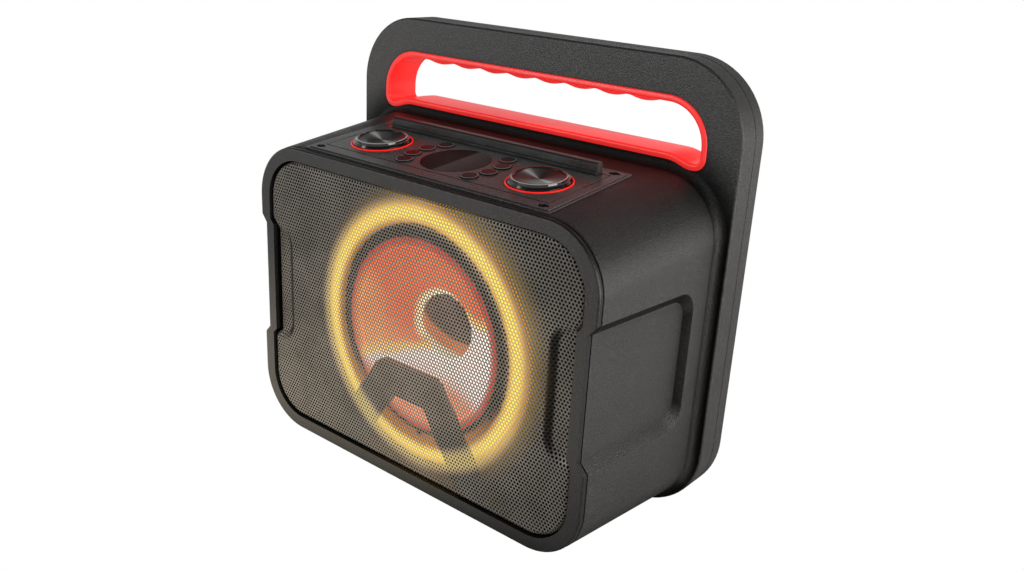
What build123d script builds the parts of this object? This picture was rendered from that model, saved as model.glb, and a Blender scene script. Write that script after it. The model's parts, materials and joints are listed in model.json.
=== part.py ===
from build123d import *
import os
from math import atan, cos, pi, radians, sin

# Portable party speaker, in millimetres. X runs across the front, Y runs from front to back and Z runs up.
# The origin is on the floor, midway across the width and midway through the depth.
# "Depth" below is a distance behind the front face, and "height" is a distance above the floor.

# Overall sizes
total_width = 361.0
total_height = 339.0
total_depth = 157.5

# Front bezel and the cabinet behind it
bezel_width = 326.0
bezel_height = 235.0
bezel_bottom = 14.0
bezel_corner = 44.0
bezel_depth = 3.4
opening_width = 304.6
opening_height = 214.8
opening_corner = 34.0
opening_centre = 131.7
opening_notch = 4.0
cabinet_start = 4.4
cabinet_end = 126.0
wall = 3.0
side_draft = 0.0714
top_slope = 0.11
bottom_slope = 0.028

# Grip recess in each side of the cabinet
recess_depth = 6.3
recess_back = 102.0
recess_low = 94.0
recess_high = 183.0
recess_back_ramp = 3.0
recess_floor_ramp = 8.0
recess_roof_ramp = 9.0
cove_radius = 6.0

# Carry frame round the back of the cabinet, made of two halves
frame_bottom = 3.0
frame_corner = 56.0
frame_seam = 143.5
frame_edge = 2.0
seam_chamfer = 0.4
boss_radius = 5.5

# Hand opening in the carry frame and its soft grip
grip_half_width = 154.5
grip_top = 312.7
grip_floor = 269.0
grip_dip = 264.6
grip_thickness = 4.7
grip_gap = 0.2
scallop_pitch = 28.0
scallop_rise = 2.8
scallop_count = 8

# Control panel on the sloped top
panel_width = 232.0
panel_length = 93.0
panel_depth = 52.4
panel_pocket = 1.2
panel_step = 0.6
panel_top = 1.2
panel_corner = 2.0
controls_offset = -4.5
knob_spacing = 75.7
knob_radius = 21.9
knob_top_radius = 19.2
dish_radius = 17.4
knob_ring_inner = 22.4
knob_ring_outer = 23.5
shaft_radius = 3.0
knob_floor = 2.4
running_gap = 0.05
display_radius = 25.6
button_radius = 6.2
button_arc_radius = 37.2
button_angles = (-33.0, -10.0, 13.0, 36.0)
panel_screw_x = 105.8
panel_screw_y = 38.8
panel_screw_seat = -0.5
rail_half_length = 98.7

# Grille and baffle
grille_front = 1.5
grille_back = 18.0
grille_sheet = 1.2
grille_gap = 1.0
baffle_start = 22.0
baffle_back = 28.0
baffle_hole = 73.5
plug_width = 320.0
plug_height = 229.0
plug_corner = 40.5
plug_wall = 2.5

# Driver, all on one axis
driver_height = 129.2
flange_radius = 83.5
flange_front = 18.7
flange_back = 21.2
cone_edge_radius = 66.4
cap_radius = 25.0
coil_radius = 13.0
screw_circle = 79.6
magnet_front = 69.0
led_inner = 84.6
led_outer = 99.5
led_front = 15.0

# Back panel layout
tray_height = 62.0
tray_width = 170.0
tray_tall = 66.0
tray_floor = 148.5
tray_rim = 3.0
tray_corner = 8.0
socket_panel_front = 150.0
socket_panel_back = 151.5
port_height = 200.0
port_radius = 28.0
port_flare = 9.0

# Screws: clearance and pilot hole radii
clearance_hole = 1.9
pilot_hole = 1.55

# Feet
front_foot_x = 92.0
front_foot_depth = 48.0
rear_foot_x = 88.0

front_y = -total_depth / 2
frame_back = total_depth
frame_middle = frame_bottom + (total_height - frame_bottom) / 2
panel_tilt = atan(top_slope)
bezel_top = bezel_bottom + bezel_height
driver_axis = Axis((0, front_y, driver_height), (0, 1, 0))


# ---------------------------------------------------------------- helpers
def front_plane(depth):
    """A plane parallel to the front face: local x is X and local y is height."""
    return Plane(origin=(0, front_y + depth, 0), x_dir=(1, 0, 0), z_dir=(0, -1, 0))


def slab(outline, start, end):
    """An outline drawn in width and height, solid from one depth to another."""
    return extrude(front_plane(start) * outline, amount=end - start, dir=(0, 1, 0))


def turned(points):
    """A ring or disc on the driver's axis from a profile of (radius, depth) points."""
    profile_plane = Plane(origin=(0, front_y, driver_height), x_dir=(1, 0, 0), z_dir=(0, 0, 1))
    profile = make_face(Polyline(*points, close=True))
    return revolve(profile_plane * profile, driver_axis)


def on_driver(outline, start, end):
    """An outline centred on the driver, solid from one depth to another."""
    return slab(Pos(0, driver_height) * outline, start, end)


def rounded_outline(corners):
    """A closed outline from (x, height, radius) corners."""
    face = make_face(Polyline(*[(x, z) for x, z, radius in corners], close=True))
    for x, z, radius in corners:
        if radius:
            face = fillet(face.vertices().sort_by_distance((x, z, 0))[0], radius)
    return face


def both_sides(shape):
    """A shape and its mirror image across the middle of the width."""
    return shape + mirror(shape, about=Plane.YZ)


def panel_frame():
    """The plane of the cabinet's sloped top at the middle of the control panel."""
    height = bezel_top + top_slope * panel_depth
    return Plane(
        origin=(0, front_y + panel_depth, height),
        x_dir=(1, 0, 0),
        z_dir=(0, -sin(panel_tilt), cos(panel_tilt)),
    )


def on_panel(x, y, outline, low, high):
    """An outline on the sloped top, solid between two levels measured square to it."""
    placed = panel_frame() * (Pos(x, y, low) * outline)
    return extrude(placed, amount=high - low, dir=panel_frame().z_dir)


def panel_turned(x, y, points):
    """A turned piece standing square to the sloped top, from (radius, level) points."""
    face = make_face(Polyline(*points, close=True))
    piece = revolve(Plane.XZ * face, Axis.Z)
    return panel_frame() * (Pos(x, y, 0) * piece)


def button_places():
    """The eight button centres on two arcs that flank the display."""
    places = []
    for side in (-1, 1):
        for angle in button_angles:
            reach = button_arc_radius * cos(radians(angle))
            rise = button_arc_radius * sin(radians(angle))
            places.append((side * reach, controls_offset + rise))
    return places


def around(count, start=0.0):
    """Evenly spaced angles in degrees."""
    return [start + 360.0 * i / count for i in range(count)]


def ring_points(radius, count, start=0.0):
    """Points (x, height) spaced round the driver."""
    points = []
    for angle in around(count, start):
        x = radius * cos(radians(angle))
        points.append((x, driver_height + radius * sin(radians(angle))))
    return points


def drilled(shape, places, radius, start, end):
    """A shape with round holes through it along the depth."""
    for x, z in places:
        shape -= slab(Pos(x, z) * Circle(radius), start, end)
    return shape


def screw(x, z, head_radius, head_start, seat, shank_radius, tip):
    """A pan-head screw driven in along the depth, with a cross recess in its head."""
    body = slab(Pos(x, z) * Circle(head_radius), head_start, seat)
    body += slab(Pos(x, z) * Circle(shank_radius), seat, tip)
    slot = Rectangle(head_radius * 1.2, 0.8) + Rectangle(0.8, head_radius * 1.2)
    return body - slab(Pos(x, z) * slot, head_start, head_start + 1.0)


# ---------------------------------------------------------------- cabinet shapes
def cabinet_section(depth, inset):
    """The cabinet's outline at one depth, moved in from its outer surface."""
    half_width = bezel_width / 2 + side_draft * depth - inset
    top = bezel_top + top_slope * depth - inset
    bottom = bezel_bottom - bottom_slope * depth + inset
    outline = RectangleRounded(2 * half_width, top - bottom, bezel_corner - inset)
    return front_plane(depth) * (Pos(0, (top + bottom) / 2) * outline)


def cabinet_volume(start, end, inset=0.0):
    """The tapered box of the cabinet between two depths."""
    return loft([cabinet_section(start, inset), cabinet_section(end, inset)])


def side_recess(extra=0.0):
    """The hollow pressed into both sides, grown by an extra thickness."""
    tilt = atan(side_draft)
    outward = Vector(cos(tilt), -sin(tilt), 0)
    wall_point = Vector(bezel_width / 2, front_y, 0)
    front_reach = 40.0
    corner = 13.0
    mouth_level = 1.0
    outlines = []
    for level, flare in ((-recess_depth - extra, 0.0), (mouth_level, 1.0)):
        plane = Plane(
            origin=wall_point + outward * level,
            x_dir=(sin(tilt), cos(tilt), 0),
            z_dir=outward,
        )
        back = recess_back + flare * recess_back_ramp + extra
        high = recess_high + flare * recess_roof_ramp + extra
        low = recess_low - flare * recess_floor_ramp - extra
        rounding = corner + extra + flare * recess_back_ramp
        outline = RectangleRounded(back + front_reach, high - low, rounding)
        middle = Pos((back - front_reach) / 2, (high + low) / 2)
        outlines.append(plane * (middle * outline))
    return both_sides(loft(outlines))


def frame_outline(inset=0.0):
    """The carry frame's outline, moved in from its outer edge."""
    width = total_width - 2 * inset
    height = total_height - frame_bottom - 2 * inset
    return Pos(0, frame_middle) * RectangleRounded(width, height, frame_corner - inset)


def grip_outline(grow=0.0):
    """The hand opening: a long slot whose floor dips into its two lower corners."""
    right = [
        (128.0, grip_floor, 30.0),
        (141.0, grip_dip, 18.0),
        (grip_half_width, grip_dip, 9.0),
        (grip_half_width, grip_top, 33.0),
    ]
    left = [(-x, z, radius) for x, z, radius in reversed(right)]
    outline = rounded_outline(right + left)
    if grow:
        outline = offset(outline, amount=grow)
    return outline


def opening_outline(inset=0.0):
    """The front opening that the grille fills, narrower beside the side recesses."""
    width = opening_width - 2 * inset
    height = opening_height - 2 * inset
    outline = Pos(0, opening_centre) * RectangleRounded(width, height, opening_corner - inset)
    outer_x = width / 2 + 1
    inner_x = width / 2 - opening_notch
    low = recess_low - inset
    high = recess_high + inset
    notch = make_face(
        Polyline(
            (outer_x, low - opening_notch - 1),
            (inner_x, low),
            (inner_x, high),
            (outer_x, high + opening_notch + 1),
            close=True,
        )
    )
    return outline - notch - mirror(notch, about=Plane.YZ)


def frame_boss_places():
    """Screw positions that hold the two halves of the frame together."""
    right = [(173.0, 62.0), (173.0, 136.0), (173.0, 210.0), (168.0, 268.0), (60.0, 326.0), (95.0, 10.2)]
    return right + [(-x, z) for x, z in right]


def driver_screw_places():
    """The six screws round the driver's flange."""
    return ring_points(screw_circle, 6, 30)


def baffle_screw_places():
    """Screw positions round the edge of the baffle."""
    right = [(155.6, 62.0), (155.6, 205.0), (130.0, 240.5), (130.0, 23.9)]
    return right + [(-x, z) for x, z in right]


def board_boss_places():
    """Posts that carry the amplifier board."""
    return [(x, z) for x in (-64.0, 64.0) for z in (106.0, 144.0)]


# ---------------------------------------------------------------- front
def plug_outline(inset=0.0):
    """The outline of what plugs into the front of the cabinet."""
    width = plug_width - 2 * inset
    height = plug_height - 2 * inset
    return Pos(0, opening_centre) * RectangleRounded(width, height, plug_corner - inset)


def make_front_bezel():
    """The flat ring round the grille, with a sleeve behind it that plugs into the cabinet."""
    outline = RectangleRounded(bezel_width, bezel_height, bezel_corner)
    face = slab(Pos(0, bezel_bottom + bezel_height / 2) * outline, 0, bezel_depth)
    face = fillet(face.faces().sort_by(Axis.Y)[0].edges(), 1.6)
    sleeve = slab(plug_outline() - plug_outline(plug_wall), bezel_depth, grille_back)
    sleeve -= side_recess(wall + 0.3)
    bezel = face + sleeve - slab(opening_outline(), -1, bezel_depth + 1)
    return bezel - side_recess()


def make_grille():
    """The perforated sheet, held as a plain tray with turned-back edges."""
    outer = slab(opening_outline(grille_gap), grille_front, grille_back)
    outer = fillet(outer.faces().sort_by(Axis.Y)[0].edges(), 3.0)
    inside = opening_outline(grille_gap + grille_sheet)
    return outer - slab(inside, grille_front + grille_sheet, grille_back + 1)


def make_grille_gasket():
    """A foam frame squeezed between the grille's turned edges and the baffle."""
    ring = slab(opening_outline(grille_gap + 0.2), grille_back, baffle_start)
    return ring - slab(opening_outline(grille_gap + 4.0), grille_back - 1, baffle_start + 1)


def make_front_baffle():
    """The board behind the grille that carries the driver, cut down on top for the panel's electronics."""
    start = baffle_start - 1
    end = baffle_back + 1
    plate = slab(plug_outline(), baffle_start, baffle_back) - on_driver(Circle(baffle_hole), start, end)
    plate -= side_recess(wall + 0.4)
    plate -= slab(Pos(0, bezel_top) * Rectangle(200, 18), start, end)
    plate = drilled(plate, baffle_screw_places(), clearance_hole, start, end)
    return drilled(plate, driver_screw_places(), pilot_hole, start, end)


def make_baffle_screws():
    head_front = baffle_start - 2.2
    screws = [screw(x, z, 3.2, head_front, baffle_start, 1.5, 40) for x, z in baffle_screw_places()]
    return Compound(screws)


def make_led_ring_diffuser():
    """A ring-shaped light cover with a U section."""
    skin = 1.5
    ring = on_driver(Circle(led_outer) - Circle(led_inner), led_front, baffle_start)
    ring = fillet(ring.faces().sort_by(Axis.Y)[0].edges(), 1.4)
    hollow = Circle(led_outer - skin) - Circle(led_inner + skin)
    return ring - on_driver(hollow, led_front + skin + 0.1, baffle_start + 1)


def make_led_ring_board():
    """The ring of circuit board under the light cover, with its LEDs."""
    board_front = baffle_start - 1.6
    board = on_driver(Circle(led_outer - 1.9) - Circle(led_inner + 2.0), board_front, baffle_start)
    for x, z in ring_points((led_inner + led_outer) / 2, 36):
        board += slab(Pos(x, z) * Rectangle(3.5, 3.5), board_front - 1.5, board_front)
    return board


def make_grille_brace():
    """A rounded arch that stiffens the grille from behind."""
    centre_line = [(-59, 40), (-22, 94), (23, 94), (64, 34)]
    half_width = 13.5
    outline = offset(Polyline(*centre_line), amount=half_width, kind=Kind.ARC)
    bar = slab(make_face(outline.edges()), 3.6, 7.4)
    return bar & slab(opening_outline(grille_gap + 3), 3, 8)


# ---------------------------------------------------------------- driver
def make_woofer_basket():
    """The pressed frame of the driver: flange, six windowed spokes and the seat of the magnet."""
    basket = turned([
        (flange_radius, flange_front), (flange_radius, flange_back), (72.5, flange_back), (72.5, 28),
        (46, 64), (46, magnet_front), (20, magnet_front), (20, 66.5), (38.5, 66.5), (38.5, 63),
        (43.9, 63), (70.5, 27.2), (70.5, flange_front),
    ])
    for angle in around(6):
        window = Pos(60, 0) * Rectangle(60, 26)
        basket -= on_driver(Rot(0, 0, angle) * window, 32, 60)
    return drilled(basket, driver_screw_places(), 1.8, flange_front - 1, flange_back + 1)


def make_woofer_magnet():
    """Top plate, ring magnet, back plate and pole piece in one, with the gap for the voice coil."""
    return turned([
        (15, magnet_front), (40, magnet_front), (40, 74), (45, 74), (45, 89), (40, 89), (40, 94), (0, 94),
        (0, 70), (11.2, 70), (11.2, 88), (20, 88), (20, 74), (15, 74),
    ])


def cone_profile(lift):
    """The flared cone as (radius, depth) points, moved forward by a lift."""
    neck_depth = 56.0
    rim_depth = flange_front + 0.2
    flare = 0.82
    neck_radius = coil_radius + 0.5
    points = []
    steps = 10
    for i in range(steps + 1):
        share = i / steps
        radius = neck_radius + (cone_edge_radius - neck_radius) * share
        points.append((radius, neck_depth - (neck_depth - rim_depth) * share ** flare - lift))
    return points


def make_woofer_cone():
    front = cone_profile(0.9)
    back = cone_profile(0.0)
    return turned(front + back[::-1])


def half_roll(middle, radius, depth):
    """Points of a half circle that bulges forward, from its inner to its outer side."""
    steps = 12
    points = []
    for i in range(steps + 1):
        angle = pi * i / steps
        points.append((middle - radius * cos(angle), depth - radius * sin(angle)))
    return points


def make_woofer_surround():
    """A half-roll surround that joins the cone's rim to the basket flange."""
    middle = 71.0
    rim_depth = flange_front - 0.1
    outer = half_roll(middle, 4.4, rim_depth)
    inner = half_roll(middle, 3.5, rim_depth)
    rim = [(75.9, rim_depth), (75.9, flange_front), (74.5, flange_front)]
    return turned(outer + rim + inner[::-1])


def dome_profile(edge_depth):
    """A shallow dome as (radius, depth) points, from its middle to its edge."""
    rise = 6.5
    steps = 8
    points = []
    for i in range(steps + 1):
        share = i / steps
        points.append((cap_radius * share, edge_depth - rise * (1 - share ** 2)))
    return points


def make_woofer_dust_cap():
    """A shallow dome over the middle of the cone."""
    front_edge = 43.4
    thickness = 0.8
    return turned(dome_profile(front_edge) + dome_profile(front_edge + thickness)[::-1])


def make_voice_coil():
    """The former glued to the cone's neck, and the winding at its back end."""
    front = 55.5
    winding_start = 70.0
    back = 78.0
    inside = coil_radius - 0.6
    winding = coil_radius + 0.9
    return turned([
        (inside, front), (coil_radius, front), (coil_radius, winding_start), (winding, winding_start),
        (winding, back), (inside, back),
    ])


def make_woofer_spider():
    """The corrugated disc that centres the voice coil."""
    start = coil_radius + 0.2
    end = 42.0
    flat_from = 38.0
    wave_count = 4
    wave_height = 1.1
    front_depth = 62.2
    thickness = 0.7
    steps = 40
    front = []
    back = []
    for i in range(steps + 1):
        radius = start + (end - start) * i / steps
        wave = wave_height * sin(2 * pi * wave_count * i / steps)
        if radius > flat_from:
            wave = 0.0
        front.append((radius, front_depth + wave))
        back.append((radius, front_depth + thickness + wave))
    return turned(front + back[::-1])


def make_woofer_trim_ring():
    """The ring that covers the outer edge of the surround."""
    ring = on_driver(Circle(flange_radius) - Circle(76.0), flange_front - 1.7, flange_front)
    ring = fillet(ring.faces().sort_by(Axis.Y)[0].edges(), 0.6)
    return drilled(ring, driver_screw_places(), 3.0, flange_front - 2, flange_front + 1)


def make_woofer_gasket():
    ring = on_driver(Circle(83.0) - Circle(74.0), flange_back, baffle_start)
    return drilled(ring, driver_screw_places(), 1.8, flange_back - 1, baffle_start + 1)


def make_woofer_screws():
    head_front = flange_front - 1.4
    tip = baffle_back - 1
    screws = [screw(x, z, 2.8, head_front, flange_front, 1.5, tip) for x, z in driver_screw_places()]
    return Compound(screws)


# ---------------------------------------------------------------- cabinet and frame
def cabinet_cavity():
    """The air space inside the tapered body."""
    hollow = cabinet_volume(cabinet_start - 1, cabinet_end + wall + 1, wall)
    return hollow - side_recess(wall)


def frame_shell(start, end, wall_at_start):
    """One hollow half of the carry frame, with a wall on its outward side and round the hand opening."""
    solid = slab(frame_outline(), start, end)
    inner_start = start + wall if wall_at_start else start - 1
    inner_end = end + 1 if wall_at_start else end - wall
    pocket = slab(frame_outline(wall), inner_start, inner_end)
    pocket -= slab(grip_outline(grip_gap + wall), inner_start - 1, inner_end + 1)
    return solid, pocket


def baffle_rib(x, z):
    """A block on the inside of the cabinet wall that takes one baffle screw."""
    outward = 4.0
    across = x + outward if x > 0 else x - outward
    up = z + outward if z > bezel_bottom + bezel_height / 2 else z - outward
    block = slab(Pos(across, up) * Rectangle(20, 20), baffle_back, baffle_back + 24)
    return block & cabinet_volume(baffle_back - 2, baffle_back + 26, 1.0)


def cove_edges(shell):
    """The inner corner where the tapered body meets the front of the carry frame."""
    outline = cabinet_section(cabinet_end, 0.0).edges()
    level = front_y + cabinet_end
    near = 0.1
    found = []
    for edge in shell.edges().filter_by_position(Axis.Y, level - near, level + near):
        if min(line.distance_to(edge @ 0.5) for line in outline) < near:
            found.append(edge)
    return found


def panel_cutouts():
    """The control panel's seat in the cabinet's top, with a window and four screw holes."""
    play = 0.6
    seat = RectangleRounded(panel_width + play, panel_length + play, panel_corner)
    cut = on_panel(0, 0, seat, -panel_pocket, 12)
    cut += on_panel(0, 0, RectangleRounded(200, 66, 4), -12, 1)
    for x, y in panel_screw_places():
        cut += on_panel(x, y, Circle(1.35), -6, 1)
    return cut


def make_main_cabinet():
    """The tapered box and the front half of the carry frame, moulded in one piece."""
    body = cabinet_volume(cabinet_start, cabinet_end)
    body = fillet(body.faces().sort_by(Axis.Y)[0].edges(), 1.5)
    half, pocket = frame_shell(cabinet_end, frame_seam, True)
    half = fillet(half.faces().sort_by(Axis.Y)[0].edges(), frame_edge)
    half = chamfer(half.faces().sort_by(Axis.Y)[-1].edges(), seam_chamfer)
    shell = body + half
    shell = fillet(cove_edges(shell), cove_radius)
    shell -= side_recess()
    shell -= cabinet_cavity()
    shell -= pocket
    for x, z in baffle_screw_places():
        shell += baffle_rib(x, z)
    shell = drilled(shell, baffle_screw_places(), pilot_hole, baffle_back - 1, 44)
    for x, z in frame_boss_places():
        shell += slab(Pos(x, z) * Circle(boss_radius), cabinet_end + 1, frame_seam)
    shell = drilled(shell, frame_boss_places(), pilot_hole, cabinet_end + 4, frame_seam + 1)
    shell -= slab(grip_outline(grip_gap), cabinet_end - 1, frame_seam + 1)
    shell -= seal_ring(1.1)
    return shell - panel_cutouts()


def seal_ring(depth):
    """The groove, or the cord in it, that seals the seam round the frame."""
    ring = slab(frame_outline(1.1), frame_seam - depth, frame_seam)
    return ring - slab(frame_outline(2.0), frame_seam - 5, frame_seam + 1)


def tray_outline(inset=0.0):
    """The sunken tray for the sockets."""
    width = tray_width - 2 * inset
    height = tray_tall - 2 * inset
    return Pos(0, tray_height) * RectangleRounded(width, height, tray_corner - inset)


def make_rear_shell():
    """The rear half of the carry frame, which also closes the cabinet."""
    half, pocket = frame_shell(frame_seam, frame_back, False)
    half = fillet(half.faces().sort_by(Axis.Y)[-1].edges(), 3.5)
    half = chamfer(half.faces().sort_by(Axis.Y)[0].edges(), seam_chamfer)
    shell = half - pocket
    shell += slab(tray_outline(), tray_floor, frame_back - 1)
    shell -= slab(tray_outline(tray_rim), socket_panel_front, frame_back + 1)
    window = Pos(0, tray_height) * Rectangle(tray_width - 20, tray_tall - 20)
    shell -= slab(window, tray_floor - 1, frame_back)
    for x, z in frame_boss_places():
        shell += slab(Pos(x, z) * Circle(boss_radius), frame_seam, frame_back - 1)
    shell = drilled(shell, frame_boss_places(), clearance_hole, frame_seam - 1, frame_back)
    shell = drilled(shell, frame_boss_places(), 4.0, frame_seam + 5, frame_back + 1)
    for x, z in board_boss_places():
        shell += slab(Pos(x, z) * Circle(4.0), 131.6, frame_back - 1)
    shell = drilled(shell, board_boss_places(), 1.3, 131, 142)
    port_hole = Pos(0, port_height) * Circle(port_radius + port_flare + 0.2)
    shell -= slab(port_hole, frame_back - wall - 1, frame_back + 1)
    shell -= slab(grip_outline(grip_gap), frame_seam - 1, frame_back + 1)
    return shell


def make_cabinet_seal():
    return seal_ring(1.0)


def make_frame_screws():
    return Compound([rear_screw(x, z) for x, z in frame_boss_places()])


def rear_screw(x, z):
    """A screw driven forward from the back, deep in its boss."""
    seat = frame_seam + 5
    body = slab(Pos(x, z) * Circle(3.4), seat, seat + 2.4)
    body += slab(Pos(x, z) * Circle(1.5), cabinet_end + 6, seat)
    cross = Rectangle(4.0, 0.8) + Rectangle(0.8, 4.0)
    return body - slab(Pos(x, z) * cross, seat + 1.2, seat + 3)


def make_handle_grip():
    """The soft lining of the hand opening, with finger scallops along its upper wall."""
    proud = 0.6
    liner = slab(grip_outline(), cabinet_end - proud, frame_back)
    liner -= slab(grip_outline(-grip_thickness), cabinet_end - 2, frame_back + 1)
    reach = scallop_pitch * scallop_count / 2
    hole_top = grip_top - grip_thickness
    lobe_radius = (scallop_pitch ** 2 / 4 + scallop_rise ** 2) / (2 * scallop_rise)
    for i in range(scallop_count):
        x = scallop_pitch * (i + 0.5) - reach
        lobe = Pos(x, hole_top - scallop_rise + lobe_radius) * Circle(lobe_radius)
        band = Pos(x, hole_top - scallop_rise / 2 + 0.5) * Rectangle(scallop_pitch, scallop_rise + 1.0)
        liner += slab(lobe & band, cabinet_end + 4, frame_back - 4)
    return liner


# ---------------------------------------------------------------- control panel
def panel_screw_places():
    """The four corner screws of the control panel."""
    return [(x, y) for x in (-panel_screw_x, panel_screw_x) for y in (-panel_screw_y, panel_screw_y)]


def make_control_panel():
    """A plate with a stepped edge, a fine groove round the controls and holes for what stands in it."""
    step_width = 2.5
    lower = RectangleRounded(panel_width, panel_length, panel_corner)
    upper = RectangleRounded(panel_width - 2 * step_width, panel_length - 2 * step_width, panel_corner)
    plate = on_panel(0, 0, lower, -panel_pocket, panel_step)
    plate += on_panel(0, 0, upper, panel_step, panel_top)
    groove = Rectangle(213, 68) - Rectangle(211, 66)
    plate -= on_panel(0, 0, groove, panel_top - 0.8, panel_top + 1)
    screw_seat = Circle(3.1) + SlotOverall(9.2, 2.8)
    for x, y in panel_screw_places():
        plate -= on_panel(x, y, screw_seat, panel_screw_seat, panel_top + 1)
        plate -= on_panel(x, y, Circle(1.6), -3, 1)
    for x in (-knob_spacing, knob_spacing):
        plate -= on_panel(x, controls_offset, Circle(3.7), -3, 3)
    for x, y in button_places():
        plate -= on_panel(x, y, Circle(button_radius + 0.2), -3, 3)
    plate -= on_panel(0, controls_offset, Circle(display_radius), 0, 3)
    return plate - on_panel(0, controls_offset, Circle(23.0), -3, 3)


def make_panel_screws():
    cross = Rectangle(3.6, 0.7) + Rectangle(0.7, 3.6)
    screws = []
    for x, y in panel_screw_places():
        body = on_panel(x, y, Circle(2.9), panel_screw_seat, 0.5)
        body += on_panel(x, y, Circle(1.3), -2.9, panel_screw_seat)
        screws.append(body - on_panel(x, y, cross, 0, 2))
    return Compound(screws)


def make_display_lens():
    return on_panel(0, controls_offset, Circle(display_radius - 0.2), 0, panel_top + 0.1)


def make_display_module():
    return on_panel(0, controls_offset, Circle(22.8), -6, -0.1)


def make_button(x, y):
    """A round cap with a flange under the panel and a stem that reaches its switch."""
    cap = on_panel(x, y, Circle(button_radius), -1.4, panel_top + 1.0)
    top_face = cap.faces().sort_by(Axis.Z)[-1]
    cap = fillet(top_face.edges(), 0.6)
    cap += on_panel(x, y, Circle(button_radius + 1.2), -2.4, -1.4)
    return cap + on_panel(x, y, Circle(2.0), -5.0, -2.4)


def make_button_board():
    """The circuit board under the panel, with a switch under each button."""
    board = on_panel(0, 0, Rectangle(190, 60), -9.6, -8)
    for x, y in button_places():
        board += on_panel(x, y, Rectangle(6, 6), -8, -6.4)
        board += on_panel(x, y, Circle(1.7), -6.4, -5.9)
    return board


def make_knob_cap(x):
    """A gloss ring with a low skirt, a raised rim and a sloping floor for the dish."""
    return panel_turned(x, controls_offset, [
        (shaft_radius, 1.7), (knob_radius, 1.7), (knob_radius, 2.4), (20.9, 3.9),
        (knob_top_radius + 0.2, 4.1), (knob_top_radius, 5.3), (knob_top_radius - 0.5, 5.7),
        (dish_radius + 0.5, 5.7), (dish_radius + 0.1, 5.2), (dish_radius + 0.1, 3.86),
        (shaft_radius, knob_floor),
    ])


def make_knob_dish(x):
    """A spun metal cone set into the top of the knob."""
    return panel_turned(x, controls_offset, [
        (0, 2.45), (shaft_radius, 2.45), (dish_radius, 3.9), (dish_radius, 4.7), (0, 2.95),
    ])


def make_knob_shaft(x):
    return panel_turned(x, controls_offset, [
        (0, -7.0), (shaft_radius, -7.0), (shaft_radius, knob_floor), (0, knob_floor),
    ])


def make_knob_ring(x):
    """The lit ring round a knob."""
    bevel = 0.35
    shoulder = panel_top + bevel
    crown = shoulder + 0.4
    return panel_turned(x, controls_offset, [
        (knob_ring_inner, panel_top), (knob_ring_outer, panel_top), (knob_ring_outer, shoulder),
        (knob_ring_outer - bevel, crown), (knob_ring_inner + bevel, crown), (knob_ring_inner, shoulder),
    ])


def make_encoder(x):
    """A rotary encoder: a square body with a threaded bushing that carries the shaft."""
    body = on_panel(x, controls_offset, Rectangle(12.4, 13), -8, -3.5)
    body += on_panel(x, controls_offset, Circle(3.5), -3.5, 1.1)
    return body - on_panel(x, controls_offset, Circle(shaft_radius + running_gap), -7.1, 3)


def make_tablet_rail():
    """A lipped bar along the back of the panel that stops a phone or tablet from sliding."""
    profile = Polyline(
        (27.8, panel_top), (35.0, panel_top), (35.0, 8.8), (34.4, 9.4), (31.0, 9.4), (29.4, 8.2),
        (29.4, 4.0), (27.8, 3.2), close=True,
    )
    face = Plane.YZ * make_face(profile)
    bar = extrude(face, amount=rail_half_length, both=True)
    return panel_frame() * bar


# ---------------------------------------------------------------- feet
def make_front_feet():
    """Two tall feet, each shaped on top to the cabinet's underside."""
    feet = []
    for x in (-front_foot_x, front_foot_x):
        foot = Pos(x, front_y + front_foot_depth, 7.5) * Box(46, 22, 15)
        foot = fillet(foot.edges().filter_by(Axis.Z), 8)
        foot = chamfer(foot.faces().sort_by(Axis.Z)[0].edges(), 1.2)
        feet.append((foot - cabinet_volume(cabinet_start, cabinet_end)).solids()[0])
    return Compound(feet)


def make_rear_feet():
    """Two thin pads under the carry frame."""
    middle = front_y + (cabinet_end + frame_back) / 2
    feet = []
    for x in (-rear_foot_x, rear_foot_x):
        foot = Pos(x, middle, frame_bottom / 2) * Box(60, 20, frame_bottom)
        foot = fillet(foot.edges().filter_by(Axis.Z), 7)
        feet.append(chamfer(foot.faces().sort_by(Axis.Z)[0].edges(), 0.8))
    return Compound(feet)


# ---------------------------------------------------------------- back and inside
def socket_places():
    """Centre x of each item along the socket panel."""
    return {"switch": -58.0, "inlet": -30.0, "usb": -8.0, "aux": 12.0, "mic_1": 34.0, "mic_2": 58.0}


def make_jack_panel():
    """The plate that holds the sockets and the switch."""
    holes = {
        "switch": Rectangle(14.4, 20.4),
        "inlet": Circle(5.6),
        "usb": Rectangle(13.4, 6.4),
        "aux": Circle(4.1),
        "mic_1": Circle(5.1),
        "mic_2": Circle(5.1),
    }
    plate = slab(tray_outline(tray_rim + 0.4), socket_panel_front, socket_panel_back)
    for name, outline in holes.items():
        place = Pos(socket_places()[name], tray_height)
        plate -= slab(place * outline, tray_floor, socket_panel_back + 1)
    return plate


def round_socket(x, barrel, nut, bore, body_size, start):
    """A round panel socket: a body inside, a threaded barrel through the panel and a nut outside."""
    place = Pos(x, tray_height)
    body = slab(place * Rectangle(body_size, body_size), start, socket_panel_front - 0.1)
    body += slab(place * Circle(barrel), tray_floor, socket_panel_back + 2.6)
    body += slab(place * RegularPolygon(nut, 6), socket_panel_back, socket_panel_back + 1.6)
    return body - slab(place * Circle(bore), start + 4, socket_panel_back + 4)


def make_power_inlet():
    """A barrel socket with its centre pin."""
    x = socket_places()["inlet"]
    socket = round_socket(x, 5.5, 7.0, 3.2, 13, 134)
    return socket + slab(Pos(x, tray_height) * Circle(1.0), 138, socket_panel_back + 0.5)


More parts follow.
